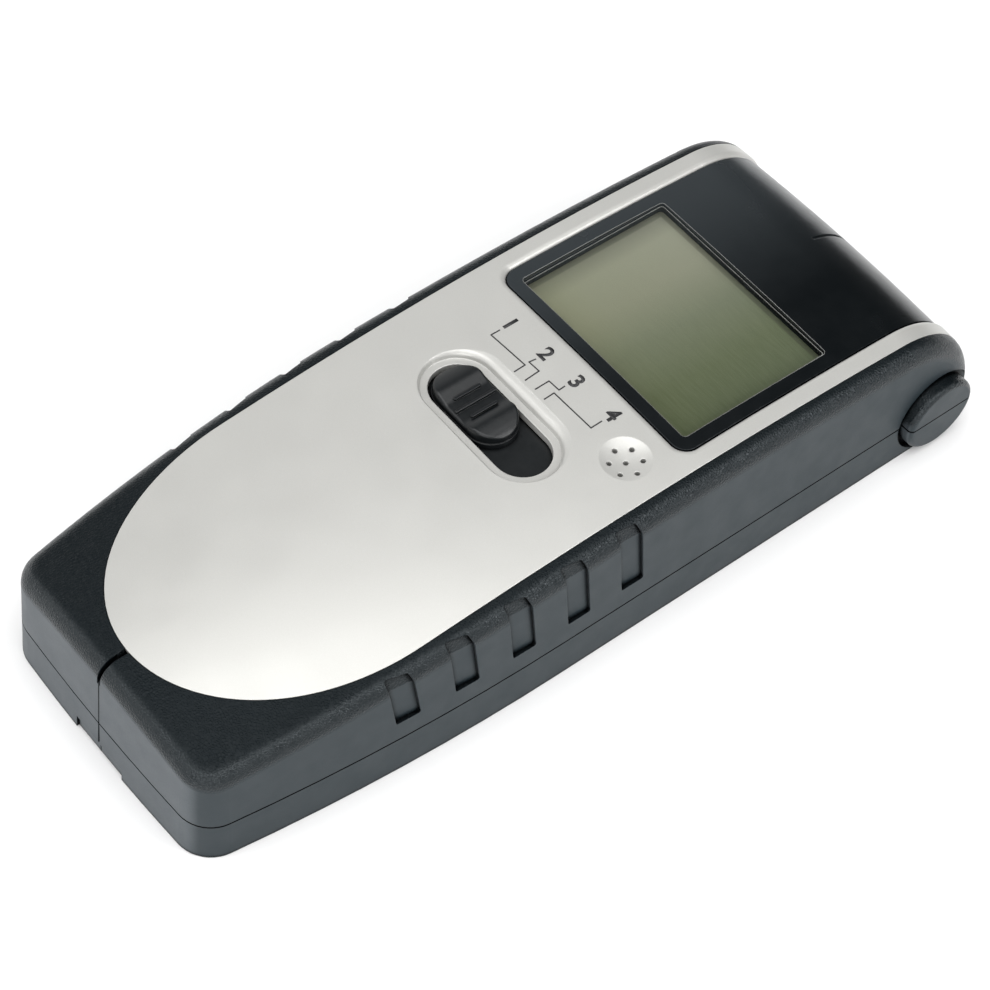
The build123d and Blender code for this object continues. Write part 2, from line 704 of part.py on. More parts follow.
def head_cover():
    """Black frame round the display, with a well, rolled over the head."""
    cover_top = hull(COVER_SINK, COVER_SINK, HULL_LOW)
    mark_sink = COVER_SINK + MARK_DEPTH
    mark_floor = hull(mark_sink, mark_sink, HULL_LOW)
    skin = (prism(cover_outline(0), WRAP_Z, ABOVE) & cover_top) - hull_under_layer
    with BuildPart() as cover:
        add(skin)
        with BuildPart(mode=Mode.PRIVATE) as well:
            with Locations((0, at(DISPLAY_MID), 28)):
                Box(2 * DISPLAY_HALF + 2.0, DISPLAY_LENGTH + 2.0, 3.0)
            fillet(well.edges().filter_by(Axis.Z), radius=1.2)
        add(well.part & cover_top)
        with BuildPart(mode=Mode.PRIVATE) as window:
            with Locations((0, at(DISPLAY_MID), 30)):
                Box(2 * DISPLAY_HALF, DISPLAY_LENGTH, 20)
            fillet(window.edges().filter_by(Axis.Z), radius=0.8)
        add(window.part, mode=Mode.SUBTRACT)
        # centre mark over the head roll
        with BuildPart(mode=Mode.PRIVATE) as mark:
            with Locations((0, at(166.0), 20)):
                Box(0.7, 16, 30)
        add(mark.part - mark_floor, mode=Mode.SUBTRACT)
    return cover.part


def display_lens():
    thick, gap = 1.2, 0.16
    with BuildPart() as lens:
        with Locations((0, at(DISPLAY_MID), LENS_TOP - thick / 2)):
            Box(2 * DISPLAY_HALF - gap, DISPLAY_LENGTH - gap, thick)
        fillet(lens.edges().filter_by(Axis.Z), radius=0.7)
        chamfer(lens.faces().sort_by(Axis.Z)[-1].edges(), length=0.2)
    return lens.part


# ---------------------------------------------------------------------------
# display module
# ---------------------------------------------------------------------------

def lcd_glass():
    width, length, thick = LCD_SIZE
    step = 2.0
    with BuildPart() as glass:
        with Locations((0, at(DISPLAY_MID), LCD_TOP - thick / 2)):
            Box(width, length, thick)
        # the upper sheet is stepped back on the side towards the handle
        with Locations((0, at(DISPLAY_MID) - length / 2 + step / 2, LCD_TOP - 0.4)):
            Box(width + 0.1, step, 0.9, mode=Mode.SUBTRACT)
    return glass.part


def lcd_reflector():
    with BuildPart() as reflector:
        with Locations((0, at(DISPLAY_MID) + 0.6, LCD_UNDER - 0.2)):
            Box(42.0, 28.0, 0.3)
    return reflector.part


def lcd_holder():
    """Frame standing on the main board, with a ledge under the glass."""
    mid_y = at(DISPLAY_MID)
    ledge_z = LCD_UNDER - 0.4
    with BuildPart() as holder:
        with Locations((0, mid_y, (PCB_SEAT + HOLDER_TOP) / 2)):
            Box(47.6, 39.0, HOLDER_TOP - PCB_SEAT)
            Box(45.2, 34.8, 20, mode=Mode.SUBTRACT)
        with Locations((0, mid_y, ledge_z - 0.6)):
            Box(45.4, 35.0, 1.2)
            Box(41.0, 24.4, 3, mode=Mode.SUBTRACT)
        # the ledge is open over the contact strips
        with Locations((0, mid_y - 14.8, ledge_z), (0, mid_y + 15.6, ledge_z)):
            Box(42.6, 3.0, 4, mode=Mode.SUBTRACT)
        fillet(holder.faces().sort_by(Axis.Z)[-1].outer_wire().edges(), radius=0.4)
    return holder.part


def zebra_strips():
    """Contact strips between the main board and the glass."""
    mid_y = at(DISPLAY_MID)
    high = LCD_UNDER - SEAT
    mid_z = (PCB_SEAT + high) / 2
    with BuildPart() as strips:
        with Locations((0, mid_y - 15.4, mid_z), (0, mid_y + 15.9, mid_z)):
            Box(42.0, 1.6, high - PCB_SEAT)
    return strips.part


# ---------------------------------------------------------------------------
# mode slider: knob, shutter, switch
# ---------------------------------------------------------------------------

def knob_profile():
    """Profile along the slot: a hump at each end, a hollow for the thumb between."""
    x_low, x_high = KNOB_X - KNOB_EDGE_X, KNOB_X + KNOB_EDGE_X
    end_z = KNOB_EDGE_Z - 0.15
    with BuildPart() as profile:
        with BuildSketch(cross_plane(0, at(SLOT_AT) - 9, 0, -1)):
            with BuildLine():
                right = Spline(
                    *[(KNOB_X + x, z) for x, z in KNOB_TOP], (x_high, end_z),
                    tangents=[(1, 0), (0.9, -0.75)],
                )
                left = Spline(
                    (x_low, end_z), *[(KNOB_X - x, z) for x, z in reversed(KNOB_TOP)],
                    tangents=[(0.9, 0.75), (1, 0)],
                )
                Line(left @ 1, right @ 0)
                Line(right @ 1, (x_high, KNOB_LOW))
                Line((x_high, KNOB_LOW), (x_low, KNOB_LOW))
                Line((x_low, KNOB_LOW), left @ 0)
            make_face()
        extrude(amount=-18)
    return profile.part


def knob_ribs():
    """Three ribs across the hollow, the middle one nearly full width."""
    y, z, spread = at(SLOT_AT), 28.9, 2.35
    with BuildPart() as ribs:
        with Locations((KNOB_X, y, z)):
            Box(0.6, 2 * KNOB_R - 0.7, 1.9)
        with Locations((KNOB_X - spread, y, z), (KNOB_X + spread, y, z)):
            Box(0.55, 5.8, 1.8)
        fillet(ribs.edges().filter_by(Axis.Z), radius=0.2)
        # only the middle rib, the highest, is rounded on top
        fillet(ribs.faces().filter_by(Axis.Z).sort_by(Axis.Z)[-1].edges(), radius=0.15)
    return ribs.part


def mode_slider_knob():
    profile = knob_profile()
    ribs = knob_ribs()
    with BuildPart() as knob:
        # foot inside the slot
        with BuildSketch(Plane.XY.offset(SHUTTER_TOP + SEAT)):
            with Locations((KNOB_X, at(SLOT_AT))):
                SlotCenterToCenter(2 * KNOB_HALF, 2 * (KNOB_R + 0.25))
        extrude(amount=1.25)
        # body
        with BuildSketch(Plane.XY.offset(SHUTTER_TOP + 1.0)):
            with Locations((KNOB_X, at(SLOT_AT))):
                SlotCenterToCenter(2 * KNOB_HALF, 2 * KNOB_R)
        extrude(amount=3.4)
        add(profile, mode=Mode.INTERSECT)
        rim = [
            e for e in knob.edges()
            if e.center().Z > SHUTTER_TOP + 1.6
            and ((e @ 0.5) - Vector(KNOB_X, at(SLOT_AT), (e @ 0.5).Z)).length > KNOB_R - 0.4
        ]
        fillet(rim, radius=0.45)
        add(ribs)
        # socket for the switch actuator
        with Locations((KNOB_X, at(SLOT_AT), SHUTTER_TOP + 0.6)):
            Box(*SOCKET, 2.4, mode=Mode.SUBTRACT)
    return knob.part


def slider_shutter():
    """Sheet under the slot that moves with the knob."""
    left, right, thick = KNOB_X - 18.4, KNOB_X + 18.7, 0.8
    with BuildPart() as shutter:
        with Locations(((left + right) / 2, at(SLOT_AT), SHUTTER_TOP - thick / 2)):
            Box(right - left, 13.2, thick)
        fillet(shutter.edges().filter_by(Axis.Z), radius=1.0)
        with Locations((KNOB_X, at(SLOT_AT), SHUTTER_TOP)):
            Box(*SOCKET, 4, mode=Mode.SUBTRACT)
    return shutter.part


def mode_switch_housing():
    height = 4.2
    with BuildPart() as housing:
        with Locations((HOUSING_MID, at(SLOT_AT), PCB_SEAT + height / 2)):
            Box(20.0, 8.0, height)
        fillet(housing.edges().filter_by(Axis.Z), radius=0.5)
        # chamber for the sliding carrier, with a narrower slot in its roof
        with Locations((HOUSING_MID, at(SLOT_AT), PCB_TOP + 2.0)):
            Box(SLIDER_TRAVEL + 6.6, 5.6, 2.4, mode=Mode.SUBTRACT)
        with Locations((HOUSING_MID, at(SLOT_AT), PCB_TOP + 4.0)):
            Box(SLIDER_TRAVEL + 3.5, 2.9, 4.0, mode=Mode.SUBTRACT)
        # slots for the contacts in the floor
        with Locations(*contact_places(PCB_TOP)):
            Box(0.9, 0.5, 3.0, mode=Mode.SUBTRACT)
    return housing.part


def mode_switch_pins():
    with BuildPart() as pins:
        with Locations(*contact_places(PCB_TOP - 0.95)):
            Box(0.7, 0.3, 3.2)
    return pins.part


def mode_switch_actuator():
    """Carrier in the housing, with a stem up into the knob."""
    stem_low, stem_high = PCB_TOP + 2.5, SHUTTER_TOP + 1.5
    with BuildPart() as actuator:
        with Locations((KNOB_X, at(SLOT_AT), PCB_TOP + 2.0)):
            Box(5.8, 5.0, 2.0)
        with Locations((KNOB_X, at(SLOT_AT), (stem_low + stem_high) / 2)):
            Box(3.0, 2.4, stem_high - stem_low)
    return actuator.part


# ---------------------------------------------------------------------------
# start button on the left side
# ---------------------------------------------------------------------------

def start_button_cap():
    with BuildPart() as cap:
        with BuildSketch(button_plane(CAP_FACE)):
            SlotCenterToCenter(2 * BUTTON_HALF, 2 * BUTTON_R)
        extrude(amount=4.4)
        fillet(cap.faces().sort_by(Axis.X)[0].edges(), radius=0.5)
        # flange behind the wall
        with BuildSketch(button_plane(-30.55)):
            SlotCenterToCenter(2 * BUTTON_HALF, 2 * BUTTON_R + 2.0)
        extrude(amount=1.2)
        # shallow thumb grooves
        for offset in (-2.4, -0.8, 0.8, 2.4):
            with Locations((CAP_FACE, at(BUTTON_AT) + offset, BUTTON_Z)):
                Box(0.5, 0.5, 3.6, mode=Mode.SUBTRACT)
    return cap.part


def start_switch_plunger():
    with BuildPart() as plunger:
        with Locations((-27.7, at(BUTTON_AT), BUTTON_Z)):
            Box(3.2, 2.6, 1.6)
    return plunger.part


def start_switch_body():
    height = 3.8
    with BuildPart() as body:
        with Locations((-25.3, at(BUTTON_AT), PCB_SEAT + height / 2)):
            Box(4.6, 6.2, height)
        chamfer(body.edges().filter_by(Axis.Z), length=0.3)
        # opening for the plunger
        with Locations((-26.4, at(BUTTON_AT), BUTTON_Z)):
            Box(3.2, 2.8, 1.8, mode=Mode.SUBTRACT)
    return body.part


# ---------------------------------------------------------------------------
# battery bay
# ---------------------------------------------------------------------------

def battery_door():
    y0, y1 = at(DOOR_LOW + DOOR_FIT), at(DOOR_HIGH - DOOR_FIT)
    tab0, tab1 = at(0.5), at(DOOR_LOW + 2)
    thick, tab_thick, hook_height = 2.0, 2.5, 3.5
    with BuildPart() as door:
        with Locations((0, (y0 + y1) / 2, DOOR_Z + thick / 2)):
            Box(2 * (DOOR_HALF - DOOR_FIT), y1 - y0, thick)
        # latch tab through the handle end
        with Locations((0, (tab0 + tab1) / 2, DOOR_Z + tab_thick / 2)):
            Box(2 * (TAB_HALF - DOOR_FIT), tab1 - tab0, tab_thick)
        # finger grip: four shallow grooves across the tab end of the door
        for i in range(4):
            with Locations((0, at(8.0 + i * 1.6), DOOR_Z)):
                Box(13.0, 0.7, 0.7, mode=Mode.SUBTRACT)
        # hooks that tuck over the floor at the far edge
        for x in (-9.5, 9.5):
            with Locations((x, at(59.2), DOOR_Z + hook_height / 2)):
                Box(4.0, 1.2, hook_height)
            with Locations((x, at(60.05), DOOR_Z + 3.05)):
                Box(4.0, 2.9, 0.9)
        # stiffening ribs along both sides, beside the battery
        with Locations((-14.1, at(31), 2.6), (14.1, at(31), 2.6)):
            Box(0.8, 46, 1.2)
    return door.part


def battery_foam_pad():
    thick = 0.7
    with BuildPart() as pad:
        with Locations((0, at(31), 2.12 + thick / 2)):
            Box(20, 30, thick)
        fillet(pad.edges().filter_by(Axis.Z), radius=1.5)
    return pad.part


def battery_case():
    with BuildPart() as case:
        with Locations((0, at(BATTERY_LOW + BATTERY[1] / 2), BATTERY_MID_Z)):
            Box(*BATTERY)
        fillet(case.edges().filter_by(Axis.Y), radius=1.8)
        fillet(case.faces().sort_by(Axis.Y)[0].edges(), radius=0.6)
        chamfer(case.faces().sort_by(Axis.Y)[-1].edges(), length=0.4)
    return case.part


def battery_terminals():
    """A round stud on the left and a hexagonal socket on the right."""
    y = at(BATTERY_HIGH)
    with BuildPart() as terminals:
        with BuildSketch(cross_plane(-TERMINAL_X, y, BATTERY_MID_Z)):
            Circle(2.85)
        extrude(amount=TERMINAL_HEIGHT)
        with BuildSketch(cross_plane(TERMINAL_X, y, BATTERY_MID_Z)):
            RegularPolygon(radius=4.2, side_count=6)
            Circle(3.0, mode=Mode.SUBTRACT)
        extrude(amount=TERMINAL_HEIGHT)
    return terminals.part


def battery_snap_connector():
    y = at(SNAP_AT)
    with BuildPart() as snap:
        with Locations((0, y + SNAP_THICK / 2, BATTERY_MID_Z)):
            Box(25.4, SNAP_THICK, 12.6)
        fillet(snap.edges().filter_by(Axis.Y), radius=5.0)
        # sockets over the two terminals
        with BuildSketch(cross_plane(-TERMINAL_X, y - 0.1, BATTERY_MID_Z)):
            Circle(3.0)
        extrude(amount=TERMINAL_HEIGHT + 0.1, mode=Mode.SUBTRACT)
        with BuildSketch(cross_plane(TERMINAL_X, y - 0.1, BATTERY_MID_Z)):
            Circle(4.4)
            Circle(2.7, mode=Mode.SUBTRACT)
        extrude(amount=TERMINAL_HEIGHT + 0.1, mode=Mode.SUBTRACT)
    return snap.part


def lead(start_x, end_x):
    """Wire from the snap connector over the bay wall down to the main board."""
    start = at(SNAP_AT) + SNAP_THICK + 0.25
    points = [
        (start_x, start, BATTERY_MID_Z + 3.6),
        (start_x * 0.9, start + 2.6, BATTERY_MID_Z + 4.9),
        (end_x, at(64.4), 19.6),
        (end_x, at(67.2), 20.9),
        (end_x, at(69.4), PCB_TOP + 0.06),
    ]
    with BuildPart() as wire:
        with BuildLine():
            path = Spline(*points, tangents=[(0, 1, 0.2), (0, 0, -1)])
        with BuildSketch(Plane(origin=path @ 0, z_dir=path % 0)):
            Circle(0.65)
        sweep()
    return wire.part


def battery_lead_red():
    return lead(-3.0, -3.4)


def battery_lead_black():
    return lead(1.0, 0.4)


# ---------------------------------------------------------------------------
# main board and its parts
# ---------------------------------------------------------------------------

def main_pcb():
    mid_z = PCB_Z + PCB_T / 2
    with BuildPart() as board:
        with Locations((0, at((PCB_LOW + PCB_HIGH) / 2), mid_z)):
            Box(2 * PCB_HALF, PCB_HIGH - PCB_LOW, PCB_T)
        fillet(board.edges().filter_by(Axis.Z), radius=1.2)
        with Locations(*[(x, at(station), mid_z) for x, station in PCB_SCREWS]):
            Cylinder(1.25, 4, mode=Mode.SUBTRACT)
        # holes for the slide switch pins and the header pins
        with Locations(*contact_places(mid_z)):
            Box(0.9, 0.5, 4, mode=Mode.SUBTRACT)
        with Locations(*header_places(mid_z)):
            Box(HEADER_HOLE, HEADER_HOLE, 4, mode=Mode.SUBTRACT)
    return board.part


def gull_wing_ic(x, station, size, pins):
    """Small package under the main board, with bent leads on two sides."""
    width, length, height = size
    lead_pitch, lead_width = 1.27, 0.35
    z = PCB_Z - 0.01
    # each lead: distance out from the body, drop below the board, length, height
    lead_parts = [(0.35, 0.55, 0.9, 0.2), (0.75, 0.35, 0.2, 0.6), (1.05, 0.13, 0.8, 0.2)]
    with BuildPart() as package:
        with Locations((x, at(station), z - (0.15 + height / 2))):
            Box(width, length, height)
        chamfer(package.faces().sort_by(Axis.Z)[0].edges(), length=0.2)
        for k in range(pins):
            pin_x = x + (k - (pins - 1) / 2) * lead_pitch
            for side in (-1, 1):
                for out, drop, part_length, part_height in lead_parts:
                    with Locations((pin_x, at(station) + side * (length / 2 + out), z - drop)):
                        Box(lead_width, part_length, part_height)
    return package.part


def microcontroller():
    return gull_wing_ic(0, 121, (12.8, 7.5, 2.2), 10)


def driver_ic():
    with BuildPart() as packages:
        for x, station in ((-15.5, 93.0), (12.5, 73.0)):
            add(gull_wing_ic(x, station, (5.0, 4.0, 1.5), 4))
    return packages.part


def electrolytic_capacitors():
    with BuildPart() as cans:
        for x, station, radius, height in ELECTROLYTICS:
            with Locations((x, at(station), PCB_SEAT + height / 2)):
                Cylinder(radius, height)
        # one face only: the top of one of the tallest cans
        fillet(cans.faces().sort_by(Axis.Z)[-1].edges(), radius=0.3)
    return cans.part


def chips(places, size):
    """Equal blocks under the main board."""
    with BuildPart() as blocks:
        for x, station in places:
            with Locations((x, at(station), PCB_Z - 0.02 - size[2] / 2)):
                Box(*size)
    return blocks.part


def chip_capacitors():
    return chips(CHIP_CAPACITORS, (2.0, 1.25, 0.9))


def chip_resistors():
    return chips(CHIP_RESISTORS, (1.6, 0.8, 0.5))


def crystal():
    with BuildPart() as can:
        with BuildSketch(Plane.XY.offset(PCB_Z - 3.7)):
            with Locations((13.5, at(121))):
                SlotCenterToCenter(6.4, 4.5, rotation=90)
        extrude(amount=3.6)
        fillet(can.faces().sort_by(Axis.Z)[0].edges(), radius=0.5)
    return can.part


def buzzer():
    height = 6.8
    with BuildPart() as can:
        with Locations((SPEAKER_X, at(SPEAKER_AT), PCB_SEAT + height / 2)):
            Cylinder(5.8, height)
        fillet(can.faces().sort_by(Axis.Z)[-1].edges(), radius=0.5)
        with Locations((SPEAKER_X, at(SPEAKER_AT), PCB_TOP + 6.9)):
            Cylinder(1.3, 3.0, mode=Mode.SUBTRACT)
    return can.part


# ---------------------------------------------------------------------------
# sensor board and its parts
# ---------------------------------------------------------------------------

def sensor_board():
    mid_z = SENSOR_Z + SENSOR_T / 2
    with BuildPart() as board:
        with Locations((0, at(128), mid_z)):
            Box(46, 62, SENSOR_T)
        fillet(board.edges().filter_by(Axis.Z), radius=1.5)
        with Locations(*header_places(mid_z)):
            Box(HEADER_HOLE, HEADER_HOLE, 4, mode=Mode.SUBTRACT)
    return board.part


def sensor_electrodes():
    """Two long foils at the sides and one across each end."""
    z = SENSOR_TOP + 0.07
    with BuildPart() as foils:
        with Locations((-17.4, at(COIL_AT), z), (17.4, at(COIL_AT), z)):
            Box(8.0, 50, FOIL_T)
        with Locations((0, at(108.5), z)):
            Box(20.0, 9, FOIL_T)
        with Locations((0, at(149.5), z)):
            Box(20.0, 7, FOIL_T)
    return foils.part


def coil_bobbin():
    height, flange = 4.8, 0.8
    low_z = SENSOR_SEAT + flange / 2
    high_z = SENSOR_SEAT + height - flange / 2
    with BuildPart() as bobbin:
        with Locations((0, at(COIL_AT), low_z), (0, at(COIL_AT), high_z)):
            Cylinder(12.0, flange)
        with Locations((0, at(COIL_AT), SENSOR_SEAT + height / 2)):
            Cylinder(8.0, height)
            Cylinder(7.0, 6.0, mode=Mode.SUBTRACT)
    return bobbin.part


def search_coil():
    with BuildPart() as coil:
        with Locations((0, at(COIL_AT), SENSOR_SEAT + 2.4)):
            Cylinder(11.2, 3.0)
            Cylinder(8.08, 6.0, mode=Mode.SUBTRACT)
        outer = [e for e in coil.edges().filter_by(GeomType.CIRCLE) if e.radius > 10]
        fillet(outer, radius=0.6)
    return coil.part


def ac_antenna():
    """Upright strip with a foot along the head end of the sensor board."""
    width, height, foot = 34, 4.0, 0.4
    with BuildPart() as antenna:
        with Locations((0, at(157.4), SENSOR_SEAT + height / 2)):
            Box(width, 0.4, height)
        with Locations((0, at(156.4), SENSOR_SEAT + foot / 2)):
            Box(width, 2.2, foot)
    return antenna.part


def board_header():
    height = 2.5
    with BuildPart() as header:
        with Locations((HEADER_X, at(HEADER_AT), SENSOR_SEAT + height / 2)):
            Box(HEADER_COUNT * HEADER_PITCH, 2.5, height)
        with Locations(*header_places(SENSOR_TOP + 1.3)):
            Box(HEADER_HOLE, HEADER_HOLE, 4, mode=Mode.SUBTRACT)
    return header.part


def header_pins():
    """Pins that join the two boards."""
    low, high = SENSOR_Z - 0.3, PCB_TOP + 1.0
    with BuildPart() as pins:
        with Locations(*header_places((low + high) / 2)):
            Box(HEADER_PIN, HEADER_PIN, high - low)
    return pins.part


# ---------------------------------------------------------------------------
# fasteners
# ---------------------------------------------------------------------------

def screws(places, head, shank, cross):
    """Screws with a cross slot in the head.

    head and shank are (radius, height, middle z); cross is (length, width, height, middle z).
    """
    head_r, head_t, head_z = head
    shank_r, shank_t, shank_z = shank
    cross_length, cross_width, cross_t, cross_z = cross
    with BuildPart() as fasteners:
        for x, station in places:
            with Locations((x, at(station), head_z)):
                Cylinder(head_r, head_t)
            with Locations((x, at(station), shank_z)):
                Cylinder(shank_r, shank_t)
        for x, station in places:
            with Locations((x, at(station), cross_z)):
                Box(cross_length, cross_width, cross_t, mode=Mode.SUBTRACT)
                Box(cross_width, cross_length, cross_t, mode=Mode.SUBTRACT)
    return fasteners.part


def case_screws():
    return screws(
        CASE_SCREWS,
        head=(2.45, CASE_HEAD_T, CASE_HEAD_Z + CASE_HEAD_T / 2),
        shank=(1.15, 10.0, CASE_HEAD_Z + CASE_HEAD_T + 5.0),
        cross=(2.8, 0.6, 1.2, CASE_HEAD_Z + 0.5),
    )


def pcb_screws():
    return screws(
        PCB_SCREWS,
        head=(1.7, 1.4, PCB_Z - SEAT - 0.7),
        shank=(0.78, 5.2, PCB_Z + 2.4),
        cross=(2.0, 0.45, 0.9, PCB_Z - 1.35),
    )


# each piece is saved under the name of its function
PIECES = [
    front_shell, back_shell, face_plate, head_cover, display_lens,
    lcd_glass, lcd_reflector, lcd_holder, zebra_strips,
    mode_slider_knob, slider_shutter, mode_switch_housing, mode_switch_pins,
    mode_switch_actuator, start_button_cap, start_switch_plunger, start_switch_body,
    battery_door, battery_foam_pad, battery_case, battery_terminals,
    battery_snap_connector, battery_lead_red, battery_lead_black,
    main_pcb, microcontroller, driver_ic, electrolytic_capacitors, chip_capacitors,
    chip_resistors, crystal, buzzer,
    sensor_board, sensor_electrodes, coil_bobbin, search_coil, ac_antenna,
    board_header, header_pins, case_screws, pcb_screws,
]

os.makedirs("parts", exist_ok=True)
for build in PIECES:
    piece = build()
    piece.label = build.__name__
    export_step(piece, f"parts/{build.__name__}.step")
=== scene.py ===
import math

import bpy
import bmesh
from mathutils import Matrix, Vector
from mathutils.bvhtree import BVHTree

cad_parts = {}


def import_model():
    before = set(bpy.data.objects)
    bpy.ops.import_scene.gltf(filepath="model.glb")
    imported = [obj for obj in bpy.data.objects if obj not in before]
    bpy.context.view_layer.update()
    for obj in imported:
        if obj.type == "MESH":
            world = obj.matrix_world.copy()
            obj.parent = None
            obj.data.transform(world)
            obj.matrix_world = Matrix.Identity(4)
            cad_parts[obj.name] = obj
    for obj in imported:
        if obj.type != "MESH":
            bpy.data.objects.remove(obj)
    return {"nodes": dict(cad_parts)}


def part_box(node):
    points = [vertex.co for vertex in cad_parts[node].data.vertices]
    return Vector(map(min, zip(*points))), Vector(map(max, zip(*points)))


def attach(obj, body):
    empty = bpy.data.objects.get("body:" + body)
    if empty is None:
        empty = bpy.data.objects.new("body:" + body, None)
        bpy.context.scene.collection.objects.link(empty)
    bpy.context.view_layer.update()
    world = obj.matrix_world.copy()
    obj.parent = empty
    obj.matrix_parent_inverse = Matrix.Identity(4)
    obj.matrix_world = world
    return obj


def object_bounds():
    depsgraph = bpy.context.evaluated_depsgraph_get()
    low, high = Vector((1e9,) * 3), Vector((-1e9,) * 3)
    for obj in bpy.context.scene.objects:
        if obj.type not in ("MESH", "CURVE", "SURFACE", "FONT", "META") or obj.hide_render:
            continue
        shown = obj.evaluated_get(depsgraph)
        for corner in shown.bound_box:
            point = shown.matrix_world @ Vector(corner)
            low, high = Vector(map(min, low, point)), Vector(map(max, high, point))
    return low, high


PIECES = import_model()["nodes"]
cad_low, cad_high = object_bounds()
scene = bpy.context.scene
MM = 0.001
PARTING = 8.8      # height of the joint line between the shells, mm


def box_mm(name):
    """The low and high corners of a piece, in mm."""
    return [[part / MM for part in corner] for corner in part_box(name)]


def lighter(colour, gain, lift=0.0):
    return tuple(min(1.0, part * gain + lift) for part in colour)


# ---------------------------------------------------------------------------
# shader-building helpers
# ---------------------------------------------------------------------------


class Nodes:
    """The node tree of a material or a world, emptied and ready to fill."""

    def __init__(self, owner):
        owner.use_nodes = True
        self.tree = owner.node_tree
        self.tree.nodes.clear()

    def new(self, kind, **properties):
        node = self.tree.nodes.new(kind)
        for key, value in properties.items():
            setattr(node, key, value)
        return node

    def link(self, source, target):
        self.tree.links.new(source, target)

    def put(self, socket, value):
        """Links a socket, or sets a plain value or an RGB colour."""
        if hasattr(value, "is_linked"):
            self.link(value, socket)
        elif isinstance(value, (tuple, list)) and len(value) == 3 and socket.type == "RGBA":
            socket.default_value = (*value, 1.0)
        else:
            socket.default_value = value

    def remap(self, value, start, stop, low=0.0, high=1.0, smooth=False):
        """low at start, high at stop, clamped outside; start may be above stop."""
        node = self.new("ShaderNodeMapRange", clamp=True)
        if smooth:
            node.interpolation_type = "SMOOTHSTEP"
        self.put(node.inputs["Value"], value)
        self.put(node.inputs["From Min"], start)
        self.put(node.inputs["From Max"], stop)
        self.put(node.inputs["To Min"], low)
        self.put(node.inputs["To Max"], high)
        return node.outputs["Result"]

    def split(self, vector):
        node = self.new("ShaderNodeSeparateXYZ")
        self.link(vector, node.inputs[0])
        return node.outputs

    def ramp(self, value, stops):
        """stops are (position, RGB colour)."""
        node = self.new("ShaderNodeValToRGB")
        band = node.color_ramp
        while len(band.elements) > 1:
            band.elements.remove(band.elements[-1])
        for i, (at, colour) in enumerate(stops):
            element = band.elements[0] if i == 0 else band.elements.new(at)
            element.position = at
            element.color = (*colour, 1.0)
        self.put(node.inputs["Fac"], value)
        return node.outputs["Color"]


